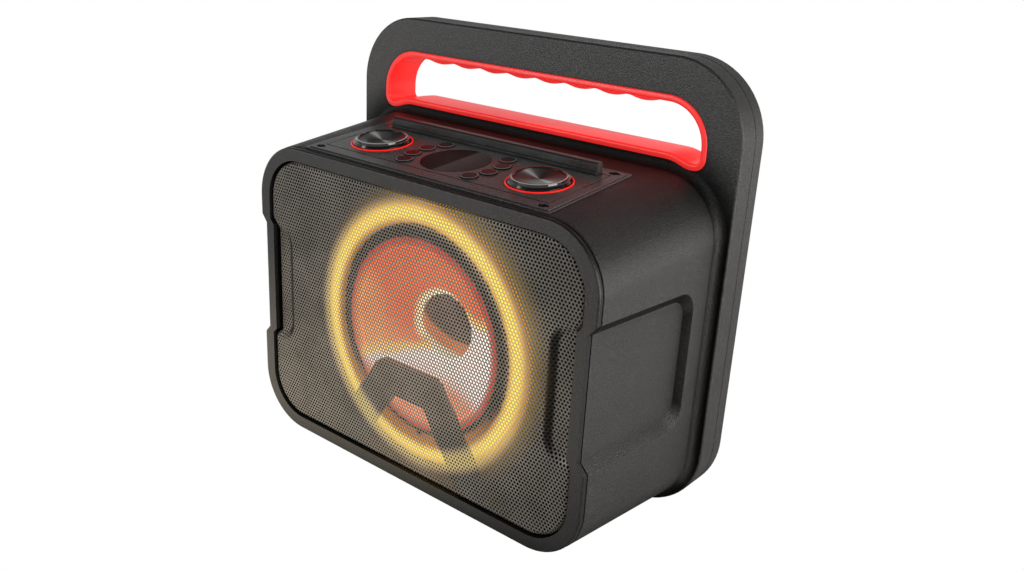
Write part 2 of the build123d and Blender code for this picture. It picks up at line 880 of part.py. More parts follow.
def make_usb_socket():
    x = socket_places()["usb"]
    shell = slab(Pos(x, tray_height) * Rectangle(13.2, 6.2), 136, socket_panel_back + 0.4)
    shell -= slab(Pos(x, tray_height) * Rectangle(12.2, 5.2), 140, socket_panel_back + 2)
    return shell + slab(Pos(x, tray_height + 1.2) * Rectangle(11.0, 1.8), 139, socket_panel_front)


def make_aux_socket():
    return round_socket(socket_places()["aux"], 4.0, 5.6, 1.8, 10, 136)


def make_mic_sockets():
    places = socket_places()
    return Compound([round_socket(places[name], 5.0, 7.4, 3.3, 15, 133) for name in ("mic_1", "mic_2")])


def make_switch_housing():
    """The switch's body behind the plate and its rim in front of it."""
    place = Pos(socket_places()["switch"], tray_height)
    housing = slab(place * Rectangle(14.2, 20.2), 134, socket_panel_back)
    housing += slab(place * RectangleRounded(18, 24, 2), socket_panel_back, socket_panel_back + 1.6)
    return housing - slab(place * Rectangle(10.4, 17.4), 140, socket_panel_back + 3)


def make_power_rocker():
    """A rocker that tips about a pivot across its middle."""
    x = socket_places()["switch"]
    pivot = front_y + 148.0
    outer = Pos(x, pivot, tray_height) * Rot(0, 90, 0) * Cylinder(8.2, 10.0)
    keep = Pos(x, pivot + 2.5, tray_height) * Box(10.0, 7.0, 16.4)
    notch_axis = Pos(x, pivot + 14.5, tray_height) * Rot(0, 90, 0) * Cylinder(10.5, 12.0)
    return (outer & keep) - notch_axis


def make_battery_pack():
    """Six cells in a shrink-wrapped block."""
    block = slab(Pos(0, 38.0) * Rectangle(140, 40), 92, 129)
    return fillet(block.edges().filter_by(Axis.X), 9.0)


def make_battery_bracket():
    """A folded metal strap that clamps the battery to the floor of the cabinet."""
    parts = Pos(0, front_y + 110.5, 59.0) * Box(24, 40.6, 1.6)
    for y in (front_y + 90.9, front_y + 130.1):
        parts += Pos(0, y, 37.4) * Box(24, 1.4, 44.8)
        step = -7.0 if y < front_y + 110 else 7.0
        parts += Pos(0, y + step, 15.7) * Box(24, 14.0, 1.4)
    return parts


def make_amplifier_board():
    board = slab(Pos(0, 125.0) * Rectangle(144, 50), 130, 131.6)
    board += slab(Pos(-30, 126.0) * Rectangle(44, 30), 126, 130)
    for i in range(8):
        board += slab(Pos(-49.5 + 5.57 * i, 126.0) * Rectangle(1.6, 30), 112, 126)
    for x, z in ((18, 136), (32, 136), (18, 118), (32, 118)):
        board += slab(Pos(x, z) * Circle(5.0), 116, 130)
    board += slab(Pos(54, 136) * Rectangle(16, 10), 121, 130)
    return drilled(board, board_boss_places(), 1.6, 129, 133)


def make_board_screws():
    return Compound([screw(x, z, 2.6, 128.2, 130, 1.25, 140) for x, z in board_boss_places()])


def make_bass_port():
    """A flared tube that vents the cabinet through its back."""
    outer = port_radius + 2.0
    lip = port_radius + port_flare
    profile = [
        (port_radius, 96), (outer, 96), (outer, 150), (lip, 154.4), (lip, 157.3), (lip - 1.4, 157.3),
        (port_radius + 3.0, 154.6), (port_radius, 148),
    ]
    plane = Plane(origin=(0, front_y, port_height), x_dir=(1, 0, 0), z_dir=(0, 0, 1))
    axis = Axis((0, front_y, port_height), (0, 1, 0))
    return revolve(plane * make_face(Polyline(*profile, close=True)), axis)


def make_cable(points, radius):
    """A round cable along a smooth path of (x, depth, height) points."""
    path = Spline(*[(x, front_y + depth, z) for x, depth, z in points])
    start = Plane(origin=path @ 0, z_dir=path % 0)
    return sweep(start * Circle(radius), path=path)


def make_wiring():
    """The leads from the amplifier board to the driver, the battery and the control panel."""
    driver_lead = [(54, 119.4, 136), (58, 108, 139), (68, 88, 132), (62, 72, 126), (52, 66, 128)]
    battery_lead = [(76, 100, 44), (84, 102, 60), (90, 108, 90), (76, 118, 112), (62, 128.0, 116)]
    panel_lead = [(-60, 86, 240), (-66, 95, 225), (-74, 110, 190), (-66, 120, 160), (-62, 127.6, 134)]
    return Compound([
        make_cable(driver_lead, 1.8),
        make_cable(battery_lead, 1.6),
        make_cable(panel_lead, 1.8),
    ])


def nodes():
    """Every node's name with the shape that it holds."""
    found = {
        "front_bezel": make_front_bezel(),
        "grille": make_grille(),
        "grille_gasket": make_grille_gasket(),
        "grille_brace": make_grille_brace(),
        "front_baffle": make_front_baffle(),
        "baffle_screws": make_baffle_screws(),
        "led_ring_diffuser": make_led_ring_diffuser(),
        "led_ring_board": make_led_ring_board(),
        "woofer_basket": make_woofer_basket(),
        "woofer_magnet": make_woofer_magnet(),
        "woofer_cone": make_woofer_cone(),
        "woofer_surround": make_woofer_surround(),
        "woofer_dust_cap": make_woofer_dust_cap(),
        "woofer_voice_coil": make_voice_coil(),
        "woofer_spider": make_woofer_spider(),
        "woofer_trim_ring": make_woofer_trim_ring(),
        "woofer_gasket": make_woofer_gasket(),
        "woofer_screws": make_woofer_screws(),
        "main_cabinet": make_main_cabinet(),
        "rear_shell": make_rear_shell(),
        "cabinet_seal": make_cabinet_seal(),
        "frame_screws": make_frame_screws(),
        "handle_grip": make_handle_grip(),
        "control_panel": make_control_panel(),
        "panel_screws": make_panel_screws(),
        "display_lens": make_display_lens(),
        "display_module": make_display_module(),
        "button_board": make_button_board(),
        "tablet_rail": make_tablet_rail(),
        "front_feet": make_front_feet(),
        "rear_feet": make_rear_feet(),
        "jack_panel": make_jack_panel(),
        "power_inlet": make_power_inlet(),
        "usb_socket": make_usb_socket(),
        "aux_socket": make_aux_socket(),
        "mic_sockets": make_mic_sockets(),
        "power_switch_housing": make_switch_housing(),
        "power_rocker": make_power_rocker(),
        "battery_pack": make_battery_pack(),
        "battery_bracket": make_battery_bracket(),
        "amplifier_board": make_amplifier_board(),
        "board_screws": make_board_screws(),
        "bass_port": make_bass_port(),
        "wiring": make_wiring(),
        "encoders": Compound([make_encoder(-knob_spacing), make_encoder(knob_spacing)]),
    }
    for side, x in (("left", -knob_spacing), ("right", knob_spacing)):
        found[f"knob_{side}_cap"] = make_knob_cap(x)
        found[f"knob_{side}_dish"] = make_knob_dish(x)
        found[f"knob_{side}_shaft"] = make_knob_shaft(x)
    found["knob_light_rings"] = Compound([make_knob_ring(-knob_spacing), make_knob_ring(knob_spacing)])
    for number, (x, y) in enumerate(button_places(), start=1):
        found[f"button_{number}"] = make_button(x, y)
    return found


os.makedirs("parts", exist_ok=True)
for node_name, shape in nodes().items():
    export_step(shape, f"parts/{node_name}.step")
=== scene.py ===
"""The looks of the party speaker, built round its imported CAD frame.

Everything is in metres in the CAD frame: X runs across the front, Y from front to back and Z up.
"""
import json
import math

import bpy
import numpy as np
from mathutils import Matrix, Vector
from mathutils.kdtree import KDTree


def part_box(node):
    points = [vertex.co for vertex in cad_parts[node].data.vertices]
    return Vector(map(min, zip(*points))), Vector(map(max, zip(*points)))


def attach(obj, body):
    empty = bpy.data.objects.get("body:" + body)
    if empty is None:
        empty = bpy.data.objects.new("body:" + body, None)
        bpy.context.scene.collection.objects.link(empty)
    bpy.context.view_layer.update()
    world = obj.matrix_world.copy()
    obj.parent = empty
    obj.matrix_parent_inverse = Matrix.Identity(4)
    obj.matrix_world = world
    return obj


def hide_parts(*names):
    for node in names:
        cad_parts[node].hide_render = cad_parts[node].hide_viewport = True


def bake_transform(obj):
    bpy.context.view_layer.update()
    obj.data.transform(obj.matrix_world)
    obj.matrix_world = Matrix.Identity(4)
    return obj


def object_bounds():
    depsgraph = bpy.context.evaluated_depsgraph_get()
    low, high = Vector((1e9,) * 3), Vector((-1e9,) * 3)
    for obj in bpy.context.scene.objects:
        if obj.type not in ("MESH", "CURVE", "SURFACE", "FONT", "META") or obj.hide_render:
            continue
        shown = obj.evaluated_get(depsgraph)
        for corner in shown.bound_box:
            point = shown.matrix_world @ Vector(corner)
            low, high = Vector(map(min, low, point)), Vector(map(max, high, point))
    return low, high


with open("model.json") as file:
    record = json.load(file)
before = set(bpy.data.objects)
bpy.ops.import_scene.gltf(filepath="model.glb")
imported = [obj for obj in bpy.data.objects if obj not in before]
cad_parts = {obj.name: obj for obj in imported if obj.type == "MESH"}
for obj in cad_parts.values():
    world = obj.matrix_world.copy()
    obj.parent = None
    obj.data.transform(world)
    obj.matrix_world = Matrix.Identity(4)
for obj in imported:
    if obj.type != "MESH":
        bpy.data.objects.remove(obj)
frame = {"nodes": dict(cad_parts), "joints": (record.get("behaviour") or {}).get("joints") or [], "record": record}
cad_low, cad_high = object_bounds()

MM = 0.001

# Perforated grille
hole_pitch = 2.8 * MM
hole_radius = 1.0 * MM
sheet_thickness = 0.45 * MM
fold_radius = 3.0 * MM
fold_tail = 3.0 * MM
grille_corner = 33.0 * MM
notch_depth = 4.0 * MM
strip_depth = 3.0 * MM
strip_inner = 130.0 * MM
strip_ramp = 3.8 * MM
strip_corner = 14.0 * MM
notch_span = (67.7 * MM, 158.7 * MM)
notch_bend = 3.0 * MM
strip_span = (64.5 * MM, 157.0 * MM)

# Soft lining of the hand opening
lip_radius = 1.7 * MM
liner_thickness = 4.7 * MM
floor_dip = 4.4 * MM
scallop_pitch = 28.0 * MM
scallop_rise = 2.8 * MM
scallop_count = 8

# Driver's soft parts
roll_radius = 4.4 * MM
roll_middle = 71.0 * MM
spider_inner = 13.2 * MM
spider_flat = 38.0 * MM
spider_outer = 42.0 * MM
ring_columns = 240

# Light ring: half the width of its lit band, and how far its painted glow is moved on the grille so that it
# meets the ring itself when seen from the camera
led_core = 7.45 * MM
lit_through = Vector((11.7, 0.0, 5.9)) * MM

# Feet
front_foot_slope = 0.028
front_foot_grooves = (3.6 * MM, 6.4 * MM, 9.2 * MM)

# Painted shade of the cabinet: heights over which its foot and its crown darken, and where its cove starts
foot_span = (10.0 * MM, 95.0 * MM)
crown_span = (150.0 * MM, 190.0 * MM)
cove_depth = 120.0 * MM

# Camera
camera_place = Vector((0.4614, -0.5362, 0.4140))
camera_aim = Vector((0.0956, -0.07875, 0.1995))
camera_roll = math.radians(3.281)
camera_lens = 34.46

led_low, led_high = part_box("led_ring_diffuser")
driver_centre = (led_low + led_high) / 2
led_radius = (led_high.x - led_low.x) / 2
front_y = cad_low.y


# ---------------------------------------------------------------- mesh helpers
def finish_mesh(obj, angle=40.0):
    """Bakes an object's modifiers into its mesh and shades it smooth between sharp edges."""
    graph = bpy.context.evaluated_depsgraph_get()
    mesh = bpy.data.meshes.new_from_object(obj.evaluated_get(graph))
    obj.modifiers.clear()
    obj.data = mesh
    mesh.polygons.foreach_set("use_smooth", np.ones(len(mesh.polygons), bool))
    mesh.set_sharp_from_angle(angle=math.radians(angle))
    mesh.update()


def new_object(name, vertices, faces):
    """An object from vertices and faces, linked to the scene."""
    mesh = bpy.data.meshes.new(name)
    mesh.from_pydata(np.asarray(vertices).tolist(), [], np.asarray(faces).tolist())
    mesh.update()
    obj = bpy.data.objects.new(name, mesh)
    bpy.context.scene.collection.objects.link(obj)
    return obj


def add_piece(obj, body, material, replaced=()):
    """Gives a new piece its body, its finish and the CAD nodes that it stands for."""
    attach(obj, body)
    obj.data.materials.clear()
    obj.data.materials.append(material)
    if replaced:
        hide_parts(*replaced)
    return obj


def ring_faces(rows, columns, closed_rows=True):
    """Quads between rows of points, where each row is a closed loop of columns."""
    faces = []
    for j in range(rows if closed_rows else rows - 1):
        k = (j + 1) % rows
        for i in range(columns):
            n = (i + 1) % columns
            faces.append((j * columns + i, k * columns + i, k * columns + n, j * columns + n))
    return faces


def rounded_loop(corners, count):
    """A closed outline from (x, z, radius) corners, as evenly spaced points."""
    points = []
    for i, (x, z, radius) in enumerate(corners):
        here = np.array((x, z))
        before = np.array(corners[i - 1][:2]) - here
        after = np.array(corners[(i + 1) % len(corners)][:2]) - here
        before /= np.linalg.norm(before)
        after /= np.linalg.norm(after)
        half = math.acos(np.clip(before @ after, -1, 1)) / 2
        middle = here + (before + after) / np.linalg.norm(before + after) * radius / math.sin(half)
        start = here + before * radius / math.tan(half) - middle
        end = here + after * radius / math.tan(half) - middle
        first = math.atan2(start[1], start[0])
        sweep = (math.atan2(end[1], end[0]) - first + math.pi) % (2 * math.pi) - math.pi
        steps = max(2, int(abs(sweep) / math.radians(3)))
        for k in range(steps + 1):
            angle = first + sweep * k / steps
            points.append(middle + radius * np.array((math.cos(angle), math.sin(angle))))
    points = np.array(points + [points[0]])
    along = np.concatenate(([0], np.cumsum(np.linalg.norm(np.diff(points, axis=0), axis=1))))
    wanted = np.linspace(0, along[-1], count, endpoint=False)
    return np.column_stack([np.interp(wanted, along, points[:, k]) for k in (0, 1)])


def inward_normals(loop):
    """Unit vectors that point into an anticlockwise outline."""
    ahead = np.roll(loop, -1, axis=0) - np.roll(loop, 1, axis=0)
    ahead /= np.linalg.norm(ahead, axis=1)[:, None]
    return np.column_stack((-ahead[:, 1], ahead[:, 0]))


def swept_loop(loop, profile):
    """Points of a closed profile of (inset, y) carried round an outline in X and Z, and their faces."""
    normals = inward_normals(loop)
    rows = []
    for inset, y in profile:
        place = loop + normals * inset
        rows.append(np.column_stack((place[:, 0], np.full(len(loop), y), place[:, 1])))
    return np.vstack(rows), ring_faces(len(profile), len(loop))


def smoothstep(value):
    value = np.clip(value, 0, 1)
    return value * value * (3 - 2 * value)


# ---------------------------------------------------------------- material helpers
class Finish:
    """A node material being built. Each method adds nodes and returns the socket to use next."""

    def __init__(self, name):
        self.material = bpy.data.materials.new(name)
        self.material.use_nodes = True
        self.tree = self.material.node_tree
        self.shader = self.tree.nodes["Principled BSDF"]
        self.place = self.node("ShaderNodeTexCoord").outputs["Object"]

    def node(self, kind, inputs=None, **settings):
        made = self.tree.nodes.new(kind)
        for key, value in settings.items():
            setattr(made, key, value)
        for key, value in (inputs or {}).items():
            self.feed(made.inputs[key], value)
        return made

    def feed(self, socket, value):
        if isinstance(value, bpy.types.NodeSocket):
            self.tree.links.new(value, socket)
        elif socket.type == "RGBA":
            socket.default_value = (*value[:3], 1.0)
        else:
            socket.default_value = value

    def set(self, **values):
        """Feeds the main shader: base_color sets its Base Color, and so on."""
        names = {"ior_level": "Specular IOR Level"}
        for key, value in values.items():
            name = names.get(key, key.replace("_", " ").title())
            self.feed(self.shader.inputs[name], value)

    def noise(self, size, detail=2.0, roughness=0.5, place=None, stretch=None):
        place = place or self.place
        if stretch:
            place = self.vector("MULTIPLY", place, stretch)
        inputs = {"Vector": place, "Scale": 1.0 / size, "Detail": detail, "Roughness": roughness}
        return self.node("ShaderNodeTexNoise", inputs).outputs["Fac"]

    def cells(self, size, feature="F1"):
        inputs = {"Vector": self.place, "Scale": 1.0 / size}
        return self.node("ShaderNodeTexVoronoi", inputs, feature=feature).outputs["Distance"]

    def vector(self, operation, a, b=(0, 0, 0)):
        made = self.node("ShaderNodeVectorMath", {0: a, 1: b}, operation=operation)
        return made.outputs["Value" if operation in ("LENGTH", "DOT_PRODUCT") else "Vector"]

    def math(self, operation, a, b=0.0):
        return self.node("ShaderNodeMath", {0: a, 1: b}, operation=operation).outputs[0]

    def ramp(self, value, low, high, start=0.0, end=1.0, smooth=False):
        """Turns low..high into start..end, and clamps it."""
        inputs = {"Value": value, "From Min": low, "From Max": high, "To Min": start, "To Max": end}
        kind = "SMOOTHSTEP" if smooth else "LINEAR"
        return self.node("ShaderNodeMapRange", inputs, interpolation_type=kind).outputs["Result"]

    def mix(self, factor, a, b):
        return self.node("ShaderNodeMix", {0: factor, 6: a, 7: b}, data_type="RGBA").outputs[2]

    def split(self, vector):
        return self.node("ShaderNodeSeparateXYZ", {0: vector}).outputs

    def join(self, x, y, z):
        return self.node("ShaderNodeCombineXYZ", {0: x, 1: y, 2: z}).outputs[0]

    def bump(self, height, depth, normal=None):
        inputs = {"Height": height, "Distance": depth, "Strength": 1.0}
        if normal:
            inputs["Normal"] = normal
        return self.node("ShaderNodeBump", inputs).outputs["Normal"]

    def rounded(self, radius):
        """The surface direction with every edge rounded off."""
        return self.node("ShaderNodeBevel", {"Radius": radius}, samples=6).outputs["Normal"]

    def edge_mask(self, rounded):
        """1 on the rounded edges and 0 on flat ground."""
        true_normal = self.node("ShaderNodeNewGeometry").outputs["Normal"]
        return self.ramp(self.vector("DOT_PRODUCT", rounded, true_normal), 0.995, 0.85)

    def shelter(self, reach):
        """Painted shade: 1 in the open and 0 in a corner, most of all in the cove and on forward faces.

        The crown, the foot and faces that look down come out lower too, as they do in light from the sides.
        """
        open_sky = self.node("ShaderNodeAmbientOcclusion", {"Distance": reach}, samples=8).outputs["AO"]
        place = self.node("ShaderNodeNewGeometry")
        _, forward, upward = self.split(place.outputs["Normal"])
        _, along, height = self.split(place.outputs["Position"])
        depth = self.math("SUBTRACT", along, front_y)
        least = self.ramp(forward, -0.8, -0.3, 0.0, 0.55)
        body = self.ramp(depth, cove_depth - 1.5 * MM, cove_depth, 1.0, 0.0)
        near = self.math("MAXIMUM", self.ramp(open_sky, 0.62, 0.94), self.math("MULTIPLY", least, body))
        near = self.math("MINIMUM", near, self.math("MAXIMUM", self.ramp(open_sky, 0.80, 0.985), body))
        foot = self.ramp(height, *foot_span, 0.62, 1.0)
        near = self.math("MULTIPLY", near, self.math("MAXIMUM", foot, self.math("SUBTRACT", 1.0, body)))
        crown = self.ramp(height, *crown_span, 1.0, 0.5)
        level = self.math("MAXIMUM", crown, self.ramp(upward, 0.15, 0.95, 1.0, 0.0))
        near = self.math("MULTIPLY", near, level)
        return self.math("MULTIPLY", near, self.ramp(upward, -0.25, -0.6, 1.0, 0.2))

    def edge_gleam(self, strength):
        """A painted highlight: a pale glowing line along the rounded edges of anything that stands square to the
        sloped panel.
        """
        true_normal = self.node("ShaderNodeNewGeometry").outputs["Normal"]
        tilt = self.vector("DOT_PRODUCT", true_normal, tuple(panel_normal()))
        steep = self.ramp(tilt, 0.70, 0.78, 0.0, strength)
        gleam = self.math("MULTIPLY", self.ramp(tilt, 0.995, 0.97), steep)
        self.set(emission_color=(1.0, 0.98, 0.96), emission_strength=gleam)
        return self

    def driver_radius(self, shift=(0, 0, 0)):
        """Distance from the axis of the driver, or from an axis moved aside."""
        position = self.node("ShaderNodeNewGeometry").outputs["Position"]
        offset = self.vector("SUBTRACT", position, tuple(driver_centre + Vector(shift)))
        return self.vector("LENGTH", self.vector("MULTIPLY", offset, (1, 0, 1)))


def moulded_plastic(name, colour, roughness, grain=0.0, edge=0.4 * MM, edge_wear_and_highlight=2.4, dim=0.12, shine=0.5,
                    reach=34 * MM):
    """Moulded plastic with a spark-eroded grain, uneven sheen, edges lightened as wear and as a painted highlight,
    and painted shade in corners and wherever shelter() falls low.
    """
    made = Finish(name)
    rounded = made.rounded(edge)
    mottle = made.noise(22 * MM, 4.0)
    speck = made.noise(1.0 * MM, 2.0, 0.6)
    colour = Vector(colour)
    base = made.mix(made.ramp(mottle, 0.3, 0.7), colour * 0.92, colour * 1.08)
    base = made.mix(made.ramp(speck, 0.42, 0.68, 0.0, 0.8), base, colour * 2.7)
    patches = made.ramp(made.noise(6 * MM, 3.0), 0.4, 0.7, 0.2, 0.7)
    # Edges lightened: partly wear, partly a painted highlight
    base = made.mix(made.math("MULTIPLY", made.edge_mask(rounded), patches), base, colour * edge_wear_and_highlight)
    # Painted shade: base colour and specular sink towards dim where shelter() is low
    shelter = made.shelter(reach)
    made.set(base_color=made.mix(shelter, colour * dim, base))
    made.set(ior_level=made.ramp(shelter, 0, 1, shine * dim, shine))
    made.set(roughness=made.ramp(mottle, 0.25, 0.75, roughness - 0.04, roughness + 0.05))
    if grain:
        height = made.math("ADD", speck, made.math("MULTIPLY", made.cells(0.8 * MM), 0.5))
        rounded = made.bump(height, grain, rounded)
    made.set(normal=rounded)
    return made


def brushed_metal(name, colour, roughness, metallic=1.0, streak=(1, 1, 12)):
    """Metal with fine streaks and a few darker patches."""
    made = Finish(name)
    lines = made.noise(0.6 * MM, 2.0, 0.6, stretch=streak)
    colour = Vector(colour)
    patch = made.noise(9 * MM, 3.0)
    made.set(base_color=made.mix(made.ramp(patch, 0.3, 0.7), colour * 0.85, colour * 1.1))
    made.set(metallic=metallic, roughness=made.ramp(lines, 0.3, 0.7, roughness - 0.06, roughness + 0.08))
    made.set(normal=made.bump(lines, 0.02 * MM, made.rounded(0.25 * MM)))
    return made


def soft_rubber(name, colour, roughness, pore=0.5 * MM, depth=0.03 * MM):
    """Rubber or foam with fine pores and dusty highlights."""
    made = Finish(name)
    colour = Vector(colour)
    pores = made.cells(pore)
    dust = made.noise(14 * MM, 4.0)
    made.set(base_color=made.mix(made.ramp(dust, 0.35, 0.7), colour * 0.9, colour * 1.15))
    made.set(roughness=made.ramp(dust, 0.3, 0.7, roughness, roughness + 0.1))
    made.set(normal=made.bump(pores, depth, made.rounded(0.4 * MM)))
    return made


def lit_plastic(name, core, rim, strength, shade):
    """Translucent plastic lit from behind; shade is 1 at its brightest and 0 at its rim."""
    made = Finish(name)
    level = shade(made)
    grain = made.ramp(made.noise(3 * MM, 2.0), 0.3, 0.7, 0.94, 1.06)
    glow = made.mix(level, rim, core)
    made.set(base_color=glow, roughness=0.35, emission_color=glow)
    power = made.ramp(level, 0, 1, strength * 0.45, strength)
    made.set(emission_strength=made.math("MULTIPLY", grain, power))
    made.set(normal=made.bump(made.noise(0.8 * MM), 0.02 * MM))
    return made


# ---------------------------------------------------------------- finishes
def grille_finish():
    """Powder-coated sheet with the amber light round the driver painted on as a glow, and painted shade on the
    slopes of its pressed strips.
    """
    made = Finish("powder_coat")
    speck = made.noise(0.5 * MM, 2.0, 0.6)
    cloud = made.noise(30 * MM, 3.0)
    base = made.mix(made.ramp(cloud, 0.3, 0.7), (0.13, 0.125, 0.112), (0.21, 0.198, 0.176))
    # Painted shade: the sloped faces of the pressed strips, inboard of the turned edge, are darkened
    place = made.node("ShaderNodeNewGeometry")
    slope = made.math("ABSOLUTE", made.split(place.outputs["Normal"])[0])
    sideways = made.math("ABSOLUTE", made.split(place.outputs["Position"])[0])
    inboard = made.ramp(sideways, 134 * MM, 136 * MM, 1.0, 0.0)
    shade = made.math("MULTIPLY", made.ramp(slope, 0.10, 0.45), inboard)
    base = made.mix(shade, base, (0.015, 0.014, 0.012))
    made.set(base_color=base, metallic=0.35, roughness=made.ramp(speck, 0.3, 0.7, 0.36, 0.48))
    # Painted light: an amber glow round the light ring, centred on an axis moved by lit_through, and a faint
    # painted haze further in
    radius = made.driver_radius(lit_through)
    away = made.math("ABSOLUTE", made.math("SUBTRACT", radius, led_radius - led_core))
    near = made.ramp(away, 3 * MM, 12.5 * MM, 1.0, 0.0, smooth=True)
    painted_haze = made.ramp(radius, 60 * MM, 74 * MM, 0.05, 0.0, smooth=True)
    made.set(emission_color=made.mix(near, (1.0, 0.62, 0.42), (1.0, 0.75, 0.22)))
    made.set(emission_strength=made.math("ADD", made.math("MULTIPLY", near, 0.42), painted_haze))
    made.set(normal=made.bump(speck, 0.02 * MM))
    return made


def baffle_finish():
    """Dark board with the amber light of the light ring painted on as a glow next to the ring."""
    made = moulded_plastic("baffle_board", (0.02, 0.019, 0.018), 0.6, 0.03 * MM)
    outside = made.ramp(made.driver_radius(), led_radius, led_radius + 20 * MM, 1.0, 0.0)
    made.set(emission_color=(1.0, 0.55, 0.05))
    made.set(emission_strength=made.math("MULTIPLY", made.math("POWER", outside, 2.2), 0.5))
    return made


def swirl_colour(made):
    """A generic warm swirl: orange red above, sweeping into a pale field below."""
    position = made.node("ShaderNodeNewGeometry").outputs["Position"]
    x, _, z = made.split(made.vector("SUBTRACT", position, tuple(driver_centre)))
    radius = made.driver_radius()
    angle = made.math("ARCTAN2", z, x)
    wander = made.noise(40 * MM, 3.0)
    turn = made.math("MULTIPLY", radius, 1 / (26 * MM))
    phase = made.math("ADD", made.math("ADD", angle, turn), made.math("MULTIPLY", wander, 2.4))
    wave = made.math("ADD", made.math("MULTIPLY", made.math("SINE", phase), 0.5), 0.5)
    warm = made.mix(made.ramp(wave, 0.2, 0.9, smooth=True), (0.90, 0.14, 0.03), (1.0, 0.36, 0.09))
    across = made.math("SUBTRACT", made.math("MULTIPLY", z, -0.80), made.math("MULTIPLY", x, -0.55))
    field = made.math("ADD", across, made.math("MULTIPLY", made.math("SUBTRACT", wave, 0.5), 26 * MM))
    edge = made.ramp(field, -6 * MM, 6 * MM, smooth=True)
    colour = made.mix(edge, warm, (1.0, 0.66, 0.16))
    pale = made.mix(wander, (0.86, 0.84, 0.80), (0.74, 0.73, 0.72))
    colour = made.mix(made.ramp(field, 4 * MM, 13 * MM, smooth=True), colour, pale)
    low_rim = made.math("MULTIPLY", made.ramp(z, -34 * MM, -46 * MM, smooth=True), 0.85)
    colour = made.mix(low_rim, colour, (0.95, 0.24, 0.06))
    halo = made.math("MULTIPLY", made.ramp(radius, 32 * MM, 28 * MM), made.ramp(field, 0.0, -12 * MM))
    halo = made.math("MULTIPLY", halo, made.ramp(x, 14 * MM, 2 * MM))
    colour = made.mix(halo, colour, (1.0, 0.86, 0.50))
    return made.mix(made.ramp(radius, 66 * MM, 73 * MM, smooth=True), colour, (0.60, 0.045, 0.025))


def swirl_finish():
    """The printed cone, with a painted glow of its own colour standing in for the light of the ring."""
    made = Finish("printed_swirl")
    colour = swirl_colour(made)
    made.set(base_color=colour, roughness=0.5, emission_color=colour, emission_strength=1.1)
    made.set(normal=made.bump(made.noise(1.2 * MM, 3.0, 0.7), 0.04 * MM))
    return made


def surround_finish():
    """Surround rubber that carries the print on its inner half and is black outside; the printed half has a
    painted glow standing in for the ring's light.
    """
    made = Finish("surround_print")
    outside = made.ramp(made.driver_radius(), 73.5 * MM, 75 * MM, smooth=True)
    colour = made.mix(outside, swirl_colour(made), (0.012, 0.011, 0.011))
    made.set(base_color=colour, roughness=0.45, emission_color=colour)
    made.set(emission_strength=made.ramp(outside, 0, 1, 1.1, 0.0))
    made.set(normal=made.bump(made.cells(0.8 * MM), 0.03 * MM))
    return made


def trim_finish():
    """Black trim ring whose lower half carries a painted orange glow, standing in for the light ring beside it."""
    made = moulded_plastic("trim_ring_satin", (0.010, 0.010, 0.010), 0.35, 0.02 * MM)
    z = made.split(made.vector("SUBTRACT", made.place, tuple(driver_centre)))[2]
    outer = made.ramp(made.driver_radius(), 77 * MM, 80 * MM)
    lit = made.math("MULTIPLY", made.ramp(z, -30 * MM, -62 * MM), outer)
    made.set(emission_color=(1.0, 0.30, 0.05), emission_strength=made.math("MULTIPLY", lit, 0.75))
    return made


def dust_cap_finish():
    """Gloss cap, dark above, with a painted orange and pale glow below that stands in for light from the print and
    the ring.
    """
    made = moulded_plastic("dust_cap_gloss", (0.012, 0.010, 0.010), 0.22)
    position = made.node("ShaderNodeNewGeometry").outputs["Position"]
    x, _, z = made.split(made.vector("SUBTRACT", position, tuple(driver_centre)))
    lit = made.math("ADD", z, made.math("MULTIPLY", x, 0.32))
    lit = made.math("ADD", lit, made.math("MULTIPLY", made.noise(20 * MM), 6 * MM))
    low = made.ramp(lit, 4 * MM, -1 * MM, smooth=True)
    pale = made.ramp(lit, -8 * MM, -13 * MM, smooth=True)
    made.set(emission_color=made.mix(pale, (1.0, 0.24, 0.05), (1.0, 0.85, 0.55)))
    made.set(emission_strength=made.math("MULTIPLY", low, 1.0))
    return made


def liner_finish():
    """Satin red rubber of the hand opening, with an even painted red glow."""
    made = Finish("red_soft_touch")
    cloud = made.noise(18 * MM, 3.0)
    pores = made.noise(0.35 * MM, 2.0)
    base = made.mix(made.ramp(cloud, 0.3, 0.7), (0.84, 0.024, 0.022), (0.90, 0.034, 0.030))
    made.set(base_color=base, roughness=made.ramp(pores, 0.3, 0.7, 0.26, 0.36))
    # Painted light: an even red glow over the rubber
    made.set(emission_color=(1.0, 0.030, 0.026), emission_strength=0.32)
    made.set(subsurface_weight=0.08, subsurface_radius=(0.004, 0.001, 0.0005), subsurface_scale=1.0)
    made.set(normal=made.bump(pores, 0.012 * MM))
    return made


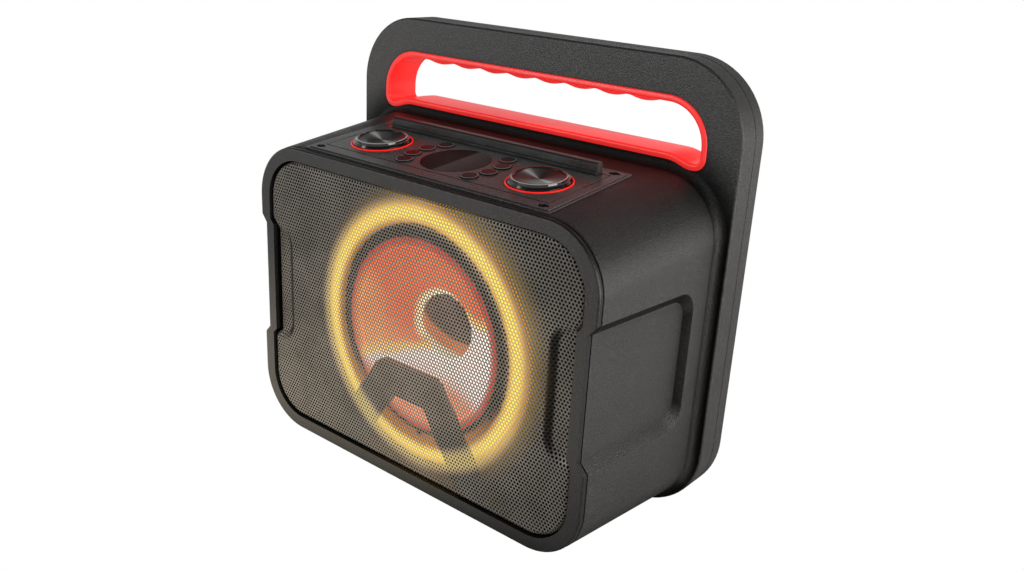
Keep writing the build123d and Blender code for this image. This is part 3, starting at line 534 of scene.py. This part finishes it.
def spun_finish(name, centre, axis, colour, roughness):
    """Metal spun on a lathe: its streaks run in circles round the given centre, and painted highlights glow across
    it.
    """
    made = Finish(name)
    position = made.node("ShaderNodeNewGeometry").outputs["Position"]
    offset = made.vector("SUBTRACT", position, tuple(centre))
    radius = made.vector("LENGTH", offset)
    rings = made.noise(0.12 * MM, 2.0, 0.7, place=made.join(radius, 0.0, 0.0))
    colour = Vector(colour)
    made.set(base_color=made.mix(rings, colour * 0.8, colour * 1.2), ior_level=0.2)
    made.set(roughness=made.ramp(rings, 0.3, 0.7, roughness, roughness + 0.08), anisotropic=0.85)
    made.set(tangent=made.vector("NORMALIZE", made.vector("CROSS_PRODUCT", tuple(axis), offset)))
    made.set(normal=made.bump(rings, 0.006 * MM))
    # Painted highlights: a broad sheen and a narrow bow-tie wedge of glow, fixed round the centre
    x, y, _ = made.split(offset)
    turn = made.math("ADD", made.math("ARCTAN2", y, x), 0.35)
    facing = made.math("ABSOLUTE", made.math("COSINE", turn))
    broad = made.math("MULTIPLY", made.math("POWER", facing, 5.0), 0.035)
    wedge = made.math("MULTIPLY", made.math("POWER", facing, 60.0), 0.16)
    made.set(emission_color=(1.0, 0.97, 0.95), emission_strength=made.math("ADD", broad, wedge))
    return made


def gloss_finish(name, colour, roughness=0.08, coat=0.4):
    """Polished plastic or glass with faint smears."""
    made = Finish(name)
    smear = made.noise(12 * MM, 4.0, 0.6)
    colour = Vector(colour)
    made.set(base_color=made.mix(smear, colour * 0.8, colour * 1.3))
    made.set(roughness=made.ramp(smear, 0.4, 0.75, roughness, roughness + 0.08))
    made.set(normal=made.bump(made.noise(4 * MM), 0.004 * MM, made.rounded(0.25 * MM)))
    made.set(coat_weight=coat, coat_roughness=0.03)
    return made


def display_finish():
    """Smoked display glass with a painted sheen on its right half over a faint painted glow."""
    made = gloss_finish("smoked_display", (0.004, 0.0035, 0.0035), 0.22, 0.0)
    low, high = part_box("display_lens")
    x = made.split(made.vector("SUBTRACT", made.place, tuple((low + high) / 2)))[0]
    fade = made.ramp(x, 26 * MM, 4 * MM, 0.35, 1.0)
    sheen = made.math("MULTIPLY", made.ramp(x, -0.5 * MM, 1.5 * MM), fade)
    made.set(emission_color=(1.0, 0.86, 0.86))
    made.set(emission_strength=made.math("ADD", made.math("MULTIPLY", sheen, 0.028), 0.006), ior_level=0.01)
    return made


def board_finish():
    """Circuit board: solder mask over tracks, with bright pads."""
    made = Finish("solder_mask")
    tracks = made.ramp(made.cells(4 * MM, "DISTANCE_TO_EDGE"), 0.04, 0.09)
    pads = made.ramp(made.cells(3.1 * MM), 0.16, 0.12)
    base = made.mix(tracks, (0.02, 0.12, 0.05), (0.012, 0.075, 0.03))
    made.set(base_color=made.mix(pads, base, (0.55, 0.54, 0.5)), metallic=pads, roughness=0.35)
    made.set(normal=made.bump(tracks, 0.03 * MM))
    return made


def cloth_finish():
    """Treated cotton weave."""
    made = Finish("treated_cloth")
    x, _, z = made.split(made.place)
    warp = made.math("SINE", made.math("MULTIPLY", x, 2 * math.pi / (0.7 * MM)))
    weft = made.math("SINE", made.math("MULTIPLY", z, 2 * math.pi / (0.7 * MM)))
    weave = made.math("MULTIPLY", warp, weft)
    made.set(base_color=made.mix(made.ramp(weave, -1, 1), (0.42, 0.30, 0.12), (0.62, 0.47, 0.22)))
    made.set(roughness=0.85, sheen_weight=0.3, normal=made.bump(weave, 0.08 * MM))
    return made


def coil_finish():
    """Enamelled copper wound in fine turns."""
    made = Finish("copper_winding")
    turns = made.math("SINE", made.math("MULTIPLY", made.split(made.place)[1], 2 * math.pi / (0.4 * MM)))
    made.set(base_color=made.mix(made.ramp(turns, -1, 1), (0.45, 0.16, 0.06), (0.85, 0.42, 0.2)))
    made.set(metallic=0.9, roughness=0.3, normal=made.bump(turns, 0.08 * MM))
    return made


def wrap_finish():
    """Blue shrink wrap over cells, creased along its length."""
    made = Finish("shrink_wrap")
    crease = made.noise(6 * MM, 3.0, stretch=(0.3, 1, 1))
    made.set(base_color=made.mix(crease, (0.015, 0.07, 0.22), (0.03, 0.12, 0.35)), roughness=0.22)
    made.set(normal=made.bump(crease, 0.4 * MM))
    return made


def jacket_finish():
    """Cable jacket with a fine twist."""
    made = soft_rubber("cable_sleeve", (0.03, 0.03, 0.03), 0.5)
    twist = made.math("SINE", made.math("MULTIPLY", made.split(made.place)[2], 2 * math.pi / (2.4 * MM)))
    made.set(normal=made.bump(twist, 0.15 * MM))
    return made


def ring_shade(made):
    """Brightest along the middle of the light ring's width."""
    away = made.math("ABSOLUTE", made.math("SUBTRACT", made.driver_radius(), led_radius - led_core))
    return made.ramp(away, 1.5 * MM, led_core, 1.0, 0.0, smooth=True)


def all_finishes():
    """One material for each slot of the record, except for the knobs' dishes, which have their own."""
    amber = lit_plastic("amber_diffuser", (1.0, 0.69, 0.07), (0.95, 0.42, 0.03), 1.15, ring_shade)
    red = lit_plastic("red_diffuser", (1.0, 0.02, 0.012), (1.0, 0.02, 0.012), 0.42, lambda made: 1.0)
    return {
        "charcoal_plastic": moulded_plastic("charcoal_texture", (0.030, 0.0295, 0.0285), 0.40, 0.38 * MM),
        "dark_plastic": moulded_plastic(
            "dark_satin", (0.030, 0.030, 0.030), 0.30, 0.03 * MM, edge_wear_and_highlight=6.0, dim=0.4, reach=4 * MM,
        ),
        "grille_metal": grille_finish(),
        "black_foam": soft_rubber("closed_cell_foam", (0.012, 0.012, 0.012), 0.85, 0.9 * MM, 0.25 * MM),
        "black_steel": brushed_metal("black_oxide", (0.03, 0.03, 0.033), 0.35),
        "amber_light": amber,
        "circuit_board": board_finish(),
        "black_metal": brushed_metal("black_pressing", (0.02, 0.02, 0.02), 0.4, 0.6),
        "magnet": brushed_metal("ground_ferrite", (0.06, 0.06, 0.065), 0.5, 0.7, (6, 6, 1)),
        "printed_cone": swirl_finish(),
        "surround_rubber": surround_finish(),
        "dust_cap": dust_cap_finish(),
        "copper_coil": coil_finish(),
        "spider_cloth": cloth_finish(),
        "red_rubber": liner_finish(),
        "display_glass": display_finish(),
        "foot_rubber": soft_rubber("foot_rubber", (0.014, 0.014, 0.014), 0.7),
        "socket_plastic": gloss_finish("socket_gloss", (0.012, 0.012, 0.012), 0.15),
        "socket_metal": brushed_metal("bright_nickel", (0.62, 0.61, 0.6), 0.2),
        "knob_black": gloss_finish("knob_gloss", (0.004, 0.004, 0.004), 0.06).edge_gleam(0.26),
        "shaft_steel": brushed_metal("turned_steel", (0.55, 0.55, 0.56), 0.28),
        "red_light": red,
        "battery_wrap": wrap_finish(),
        "cable_jacket": jacket_finish(),
        "button_plastic": moulded_plastic(
            "button_satin", (0.012, 0.011, 0.011), 0.22, 0.008 * MM, 0.5 * MM,
            edge_wear_and_highlight=9.0, dim=0.3, shine=0.15, reach=3 * MM,
        ).edge_gleam(0.16),
    }


def paint_nodes(finishes):
    """Puts a finish on every CAD node, by its material slot."""
    own = {"front_baffle": baffle_finish(), "woofer_trim_ring": trim_finish()}
    own["control_panel"] = moulded_plastic(
        "panel_satin", (0.105, 0.102, 0.102), 0.27, 0.05 * MM, edge_wear_and_highlight=3.0, dim=0.15, shine=0.4, reach=3 * MM,
    ).edge_gleam(0.15)
    own["front_bezel"] = moulded_plastic("bezel_satin", (0.012, 0.0119, 0.0118), 0.32, 0.25 * MM)
    axis = panel_normal()
    for side in ("left", "right"):
        name = f"knob_{side}_dish"
        low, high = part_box(name)
        own[name] = spun_finish(f"spun_{side}", (low + high) / 2, axis, (0.016, 0.016, 0.017), 0.14)
    for part in frame["record"]["subparts"]:
        node = frame["nodes"][part["node"]]
        made = own.get(part["node"]) or finishes[part["material_slot"]]
        node.data.materials.clear()
        node.data.materials.append(made.material)


def panel_normal():
    """Square to the sloped control panel, from the axis of a knob's joint."""
    for joint in frame["joints"]:
        if joint["name"] == "knob_left_turn":
            return Vector(joint["axis"]).normalized()


# ---------------------------------------------------------------- grille
def grille_loop(count):
    """The grille's outline: a rounded rectangle drawn in beside the side recesses."""
    low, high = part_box("grille")
    half = high.x
    narrow = half - notch_depth
    notch_low, notch_high = (low.z + height for height in notch_span)
    right = [
        (half, low.z, grille_corner),
        (half, notch_low - notch_depth, notch_bend),
        (narrow, notch_low, notch_bend),
        (narrow, notch_high, notch_bend),
        (half, notch_high + notch_depth, notch_bend),
        (half, high.z, grille_corner),
    ]
    left = [(-x, z, radius) for x, z, radius in reversed(right)]
    return rounded_loop(right + left, count)


def strip_sink(x, z):
    """How far the sheet is pressed back along the strip at each end of the grille."""
    bottom, top = (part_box("grille")[0].z + height for height in strip_span)
    middle = (bottom + top) / 2
    across = strip_inner + strip_corner - np.abs(x)
    upright = np.abs(z - middle) - (top - bottom) / 2 + strip_corner
    outside = np.hypot(np.maximum(across, 0), np.maximum(upright, 0))
    inside = np.minimum(np.maximum(across, upright), 0)
    distance = outside + inside - strip_corner
    return strip_depth * smoothstep((strip_ramp - distance) / (2 * strip_ramp))


def press_sheet(flat):
    """Bends flat (x, z) points of the sheet into the tray shape and returns 3-D points."""
    loop = grille_loop(3000)
    normals = inward_normals(loop)
    tree = KDTree(len(loop))
    for i, (x, z) in enumerate(loop):
        tree.insert((x, 0, z), i)
    tree.balance()
    nearest = np.array([tree.find((x, 0, z))[1] for x, z in flat])
    inset = np.sum((flat - loop[nearest]) * normals[nearest], axis=1)
    past = fold_radius - inset
    turn = np.clip(past / fold_radius, 0, math.pi / 2)
    tail = np.maximum(past - fold_radius * math.pi / 2, 0)
    new_inset = np.where(past > 0, fold_radius * (1 - np.sin(turn)), inset)
    place = loop[nearest] + normals[nearest] * new_inset[:, None]
    place = np.where((past > 0)[:, None], place, flat)
    depth = fold_radius * (1 - np.cos(turn)) + tail + strip_sink(place[:, 0], place[:, 1])
    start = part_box("grille")[0].y
    return np.column_stack((place[:, 0], start + depth, place[:, 1])), inset


def perforated_cells():
    """Flat ring-shaped cells on a hexagonal lattice, as shared vertices and quads."""
    low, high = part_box("grille")
    margin = fold_tail + 2 * MM
    row_step = hole_pitch * math.sqrt(3) / 2
    centre_z = (low.z + high.z) / 2
    rows = int((high.z - low.z + 2 * margin) / row_step / 2)
    columns = int((high.x + margin) / hole_pitch)
    centres = []
    for j in range(-rows, rows + 1):
        shift = 0.5 * (j % 2)
        for i in range(-columns, columns + 1):
            centres.append(((i + shift) * hole_pitch, centre_z + j * row_step))
    centres = np.array(centres)
    inset = press_sheet(centres)[1]
    centres = centres[inset > fold_radius - fold_radius * math.pi / 2 - fold_tail]
    angles = np.radians(np.arange(12) * 30.0)
    corner = np.where(np.arange(12) % 2 == 0, hole_pitch / 2, hole_pitch / math.sqrt(3))
    around = np.column_stack((np.cos(angles), np.sin(angles)))
    outer = centres[:, None, :] + around * corner[:, None]
    inner = centres[:, None, :] + around * hole_radius
    keys = np.round(outer.reshape(-1, 2) / (0.01 * MM)).astype(int)
    _, first, index = np.unique(keys, axis=0, return_index=True, return_inverse=True)
    shared = outer.reshape(-1, 2)[first]
    outer_index = index.reshape(len(centres), 12)
    inner_index = len(shared) + np.arange(len(centres) * 12).reshape(len(centres), 12)
    quads = np.stack((
        outer_index,
        np.roll(outer_index, -1, axis=1),
        np.roll(inner_index, -1, axis=1),
        inner_index,
    ), axis=2).reshape(-1, 4)
    return np.vstack((shared, inner.reshape(-1, 2))), quads


def build_grille(finishes):
    """The perforated sheet, and the solid rim round its turned edge."""
    flat, quads = perforated_cells()
    points, _ = press_sheet(flat)
    sheet = new_object("grille_sheet", points, quads[:, ::-1])
    solid = sheet.modifiers.new("thickness", "SOLIDIFY")
    solid.thickness = sheet_thickness
    solid.offset = 1.0
    finish_mesh(sheet, 55)
    metal = finishes["grille_metal"].material
    add_piece(sheet, "chassis", metal, ["grille"])

    low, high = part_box("grille")
    start = low.y + 5.2 * MM
    soft = 0.4 * MM
    outer = -0.25 * MM
    inner = 0.95 * MM
    profile = [
        (outer, start + soft), (outer + soft, start), (inner - soft, start), (inner, start + soft),
        (inner, high.y), (outer, high.y),
    ]
    rim = new_object("grille_rim", *swept_loop(grille_loop(900), profile))
    finish_mesh(rim)
    add_piece(rim, "chassis", metal)


# ---------------------------------------------------------------- soft lining
def liner_loop(count):
    """The outer outline of the hand opening's lining."""
    low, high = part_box("handle_grip")
    half = high.x
    right = [
        (half - 26.5 * MM, low.z + floor_dip, 30 * MM),
        (half - 13.5 * MM, low.z, 18 * MM),
        (half, low.z, 9 * MM),
        (half, high.z, 33 * MM),
    ]
    left = [(-x, z, radius) for x, z, radius in reversed(right)]
    return rounded_loop(right + left, count)


def scallops(x):
    """Extra thickness of the finger scallops at a place along the top wall."""
    radius = (scallop_pitch ** 2 / 4 + scallop_rise ** 2) / (2 * scallop_rise)
    reach = scallop_pitch * scallop_count / 2
    local = (x + reach) % scallop_pitch - scallop_pitch / 2
    rise = np.sqrt(radius ** 2 - local ** 2) - (radius - scallop_rise)
    return np.where(np.abs(x) < reach, rise, 0)


def build_liner(finishes):
    """The lining as one closed sleeve with rounded lips, a crowned wall and finger scallops."""
    low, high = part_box("handle_grip")
    loop = liner_loop(960)
    normals = inward_normals(loop)
    front, back = low.y, high.y
    corner = []
    for k in range(9):
        angle = math.pi / 2 * k / 8
        inset = liner_thickness - lip_radius * (1 - math.sin(angle))
        corner.append((inset, lip_radius * (1 - math.cos(angle))))
    profile = [(0.0, front + 0.5 * MM), (0.5 * MM, front)]
    profile += [(inset, front + y) for inset, y in corner]
    steps = 14
    wall = back - front - 2 * lip_radius
    for k in range(1, steps):
        share = k / steps
        crown = 0.5 * MM * math.sin(math.pi * share)
        profile.append((liner_thickness + crown, front + lip_radius + wall * share))
    profile += [(inset, back - y) for inset, y in reversed(corner)]
    profile += [(0.5 * MM, back), (0.0, back - 0.5 * MM)]
    top = (normals[:, 1] < -0.9) & (loop[:, 1] > (low.z + high.z) / 2)
    lobes = np.where(top, scallops(loop[:, 0]), 0)
    rows = []
    for inset, y in profile:
        window = smoothstep((y - front - 3.5 * MM) / (4 * MM))
        window = window * smoothstep((back - 3.5 * MM - y) / (4 * MM))
        reach = inset + lobes * window * (1.0 if inset > liner_thickness - lip_radius else 0.0)
        place = loop + normals * reach[:, None]
        rows.append(np.column_stack((place[:, 0], np.full(len(loop), y), place[:, 1])))
    liner = new_object("hand_opening_liner", np.vstack(rows), ring_faces(len(profile), len(loop)))
    finish_mesh(liner, 60)
    add_piece(liner, "chassis", finishes["red_rubber"].material, ["handle_grip"])


# ---------------------------------------------------------------- other soft parts
def turned_ring(name, profile):
    """A closed ring round the driver's axis from a closed profile of (radius, y) points."""
    angles = np.linspace(0, 2 * math.pi, ring_columns, endpoint=False)
    rows = []
    for radius, y in profile:
        x = driver_centre.x + radius * np.cos(angles)
        z = driver_centre.z + radius * np.sin(angles)
        rows.append(np.column_stack((x, np.full(ring_columns, y), z)))
    return new_object(name, np.vstack(rows), ring_faces(len(profile), ring_columns))


def flex_between(obj):
    """Bakes the piece's place into its mesh."""
    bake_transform(obj)


def dress(obj, material, replaced):
    """Gives a piece its finish and hides the CAD nodes that it stands for."""
    obj.data.materials.clear()
    obj.data.materials.append(material)
    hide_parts(*replaced)


def build_surround(finishes):
    """The half roll between cone and basket, with a lip on each side and fine moulded ribs."""
    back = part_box("woofer_surround")[1].y
    front_side = [(roll_middle - roll_radius - 1.0 * MM, back - 0.7 * MM)]
    back_side = [(roll_middle - roll_radius - 1.0 * MM, back - 0.25 * MM)]
    steps = 28
    for k in range(steps + 1):
        angle = math.pi * k / steps
        rib = 0.06 * MM * math.cos(8 * angle)
        for side, radius in ((front_side, roll_radius + rib), (back_side, roll_radius - 0.9 * MM)):
            x = roll_middle - radius * math.cos(angle)
            side.append((x, back - 0.25 * MM - radius * math.sin(angle)))
    front_side += [(75.7 * MM, back - 0.6 * MM), (75.9 * MM, back - 0.4 * MM)]
    back_side.append((75.9 * MM, back - 0.02 * MM))
    ring = turned_ring("surround_roll", front_side + back_side[::-1])
    finish_mesh(ring)
    flex_between(ring)
    dress(ring, finishes["surround_rubber"].material, ["woofer_surround"])


def build_spider(finishes):
    """The corrugated centring disc."""
    low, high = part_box("woofer_spider")
    middle = (low.y + high.y) / 2
    front_side, back_side = [], []
    steps = 96
    for k in range(steps + 1):
        radius = spider_inner + (spider_outer - spider_inner) * k / steps
        fade = float(smoothstep((spider_flat - radius) / (3 * MM)))
        wave = 1.0 * MM * math.sin(2 * math.pi * 4 * k / steps) * fade
        front_side.append((radius, middle + wave - 0.3 * MM))
        back_side.append((radius, middle + wave + 0.3 * MM))
    disc = turned_ring("spider_disc", front_side + back_side[::-1])
    finish_mesh(disc)
    flex_between(disc)
    dress(disc, finishes["spider_cloth"].material, ["woofer_spider"])


def build_gasket(finishes):
    """A foam strip with bulging sides between the grille's turned edge and the baffle."""
    low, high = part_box("grille_gasket")
    thick = high.y - low.y
    profile = []
    for k in range(9):
        share = k / 8
        profile.append((0.25 * MM - 0.2 * MM * math.sin(math.pi * share), low.y + thick * share))
    for k in range(9):
        share = k / 8
        profile.append((2.6 * MM + 0.35 * MM * math.sin(math.pi * share), high.y - thick * share))
    strip = new_object("foam_strip", *swept_loop(grille_loop(500), profile))
    finish_mesh(strip)
    add_piece(strip, "chassis", finishes["black_foam"].material, ["grille_gasket"])


def foot_shape(middle, half_x, half_y, corner, top, grooves):
    """One moulded foot: a rounded pad with a recessed sole and grooves round its sides."""
    x, y = middle
    signs = ((1, -1), (1, 1), (-1, 1), (-1, -1))
    loop = rounded_loop([(x + sx * half_x, y + sy * half_y, corner) for sx, sy in signs], 120)
    normals = inward_normals(loop)
    profile = [
        (5.4 * MM, 0.7 * MM), (5.0 * MM, 0.1 * MM), (4.8 * MM, 0.0),
        (1.5 * MM, 0.0), (0.5 * MM, 0.3 * MM), (0.1 * MM, 0.9 * MM),
    ]
    for z in grooves:
        for inset, rise in ((0.0, -0.7), (0.5, -0.3), (0.5, 0.3), (0.0, 0.7)):
            profile.append((inset * MM, z + rise * MM))
    rows = []
    for inset, z in profile:
        place = loop + normals * inset
        rows.append(np.column_stack((place, np.full(len(loop), z))))
    rows.append(np.column_stack((loop, top(loop[:, 1]))))
    count = len(loop)
    faces = ring_faces(len(rows), count, False)
    faces.append(tuple(range(count)))
    faces.append(tuple((len(rows) - 1) * count + i for i in reversed(range(count))))
    return np.vstack(rows), faces


def build_feet(finishes):
    """Both pairs of feet."""
    for name, node, half_x, corner, tilt, grooves in (
        ("front_foot_pads", "front_feet", 23 * MM, 8 * MM, front_foot_slope, front_foot_grooves),
        ("rear_foot_pads", "rear_feet", 30 * MM, 7 * MM, 0.0, ()),
    ):
        low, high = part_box(node)
        half_y = (high.y - low.y) / 2
        vertices, faces = [], []
        for x in (low.x + half_x, high.x - half_x):
            points, quads = foot_shape(
                (x, low.y + half_y), half_x, half_y, corner,
                lambda y: high.z - tilt * (y - low.y), grooves,
            )
            shift = sum(len(part) for part in vertices)
            vertices.append(points)
            faces += [tuple(i + shift for i in face) for face in quads]
        mesh = bpy.data.meshes.new(name)
        mesh.from_pydata(np.vstack(vertices).tolist(), [], faces)
        obj = bpy.data.objects.new(name, mesh)
        bpy.context.scene.collection.objects.link(obj)
        finish_mesh(obj, 35)
        add_piece(obj, "chassis", finishes["foot_rubber"].material, [node])


# ---------------------------------------------------------------- studio
def white_surface(name):
    """Pale sweep: even white to the camera, and a soft card, brighter far off, to all that it lights."""
    made = Finish(name)
    cloud = made.noise(0.4, 2.0)
    made.set(base_color=made.mix(cloud, (0.50, 0.50, 0.50), (0.54, 0.54, 0.54)))
    made.set(roughness=0.9, ior_level=0.1)
    position = made.node("ShaderNodeNewGeometry").outputs["Position"]
    far = made.ramp(made.vector("LENGTH", position), 0.5, 1.7, 0.0, 0.55, smooth=True)
    patch = made.vector("LENGTH", made.vector("SUBTRACT", position, (-0.20, -0.20, 0.0)))
    near = made.ramp(patch, 0.40, 0.08, 0.0, 1.5, smooth=True)
    made.set(emission_color=made.mix(near, (1.0, 1.0, 1.0), (1.0, 0.88, 0.70)))
    made.set(emission_strength=made.math("ADD", far, near))
    tree = made.tree
    seen = made.node("ShaderNodeEmission", {"Color": (1, 1, 1), "Strength": 1.0})
    camera_ray = made.node("ShaderNodeLightPath").outputs["Is Camera Ray"]
    blend = made.node("ShaderNodeMixShader")
    tree.links.new(camera_ray, blend.inputs[0])
    tree.links.new(made.shader.outputs[0], blend.inputs[1])
    tree.links.new(seen.outputs[0], blend.inputs[2])
    tree.links.new(blend.outputs[0], tree.nodes["Material Output"].inputs["Surface"])
    return made.material


def build_floor():
    steps = 96
    radius = 14.0
    points = [(0, 0, 0)]
    for i in range(steps):
        angle = 2 * math.pi * i / steps
        points.append((radius * math.cos(angle), radius * math.sin(angle), 0))
    mesh = bpy.data.meshes.new("floor")
    mesh.from_pydata(points, [], [(0, 1 + i, 1 + (i + 1) % steps) for i in range(steps)])
    floor = bpy.data.objects.new("floor", mesh)
    bpy.context.scene.collection.objects.link(floor)
    mesh.materials.append(white_surface("floor_white"))


def area_light(name, place, aim, width, height, power, colour=(1, 1, 1)):
    light = bpy.data.lights.new(name, "AREA")
    light.shape = "RECTANGLE"
    light.size = width
    light.size_y = height
    light.energy = power
    light.color = colour
    obj = bpy.data.objects.new(name, light)
    obj.location = place
    obj.rotation_mode = "QUATERNION"
    obj.rotation_quaternion = (Vector(aim) - Vector(place)).to_track_quat("-Z", "Y")
    obj.visible_camera = False
    bpy.context.scene.collection.objects.link(obj)
    return obj


def build_lights():
    target = (0, 0, 0.17)
    area_light("side_softbox", (1.5, 0.0, 0.46), target, 1.0, 0.8, 18, (1.0, 0.97, 0.93))
    area_light("front_softbox", (-0.9, -1.5, 0.8), target, 1.0, 0.8, 8)
    area_light("left_softbox", (-0.50, -0.55, 0.32), (-0.15, -0.08, 0.2), 0.25, 0.25, 0.15)
    area_light("back_softbox", (0.3, 0.9, 1.3), target, 0.5, 0.5, 1.2)
    low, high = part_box("handle_grip")
    inside = (0.03, low.y + 2 * MM, high.z - 22 * MM)
    spill = area_light("red_spill", inside, (0.05, -0.03, 0.25), 0.22, 0.03, 0.035, (1.0, 0.05, 0.04))
    spill.visible_glossy = False
    world = bpy.data.worlds.new("studio")
    bpy.context.scene.world = world
    world.use_nodes = True
    tree = world.node_tree
    back = tree.nodes["Background"]
    back.inputs["Color"].default_value = (1, 1, 1, 1)
    ray = tree.nodes.new("ShaderNodeNewGeometry")
    height = tree.nodes.new("ShaderNodeSeparateXYZ")
    tree.links.new(ray.outputs["Incoming"], height.inputs[0])
    sky = tree.nodes.new("ShaderNodeMapRange")
    for name, value in (("From Min", -0.60), ("From Max", -0.25), ("To Min", 0.07), ("To Max", 0.66)):
        sky.inputs[name].default_value = value
    tree.links.new(height.outputs[2], sky.inputs["Value"])
    tree.links.new(sky.outputs[0], back.inputs["Strength"])
    seen = tree.nodes.new("ShaderNodeBackground")
    seen.inputs["Color"].default_value = (1, 1, 1, 1)
    seen.inputs["Strength"].default_value = 1.0
    path = tree.nodes.new("ShaderNodeLightPath")
    mix = tree.nodes.new("ShaderNodeMixShader")
    tree.links.new(path.outputs["Is Camera Ray"], mix.inputs[0])
    tree.links.new(back.outputs[0], mix.inputs[1])
    tree.links.new(seen.outputs[0], mix.inputs[2])
    tree.links.new(mix.outputs[0], tree.nodes["World Output"].inputs["Surface"])


def build_camera():
    lens = bpy.data.cameras.new("camera")
    lens.lens = camera_lens
    lens.sensor_width = 36.0
    camera = bpy.data.objects.new("camera", lens)
    facing = (camera_aim - camera_place).to_track_quat("-Z", "Y")
    camera.rotation_mode = "QUATERNION"
    camera.rotation_quaternion = facing @ Matrix.Rotation(camera_roll, 3, "Z").to_quaternion()
    camera.location = camera_place
    bpy.context.scene.collection.objects.link(camera)
    bpy.context.scene.camera = camera
    bpy.context.scene.view_settings.view_transform = "Standard"


finishes = all_finishes()
paint_nodes(finishes)
build_grille(finishes)
build_liner(finishes)
build_surround(finishes)
build_spider(finishes)
build_gasket(finishes)
build_feet(finishes)
build_floor()
build_lights()
build_camera()
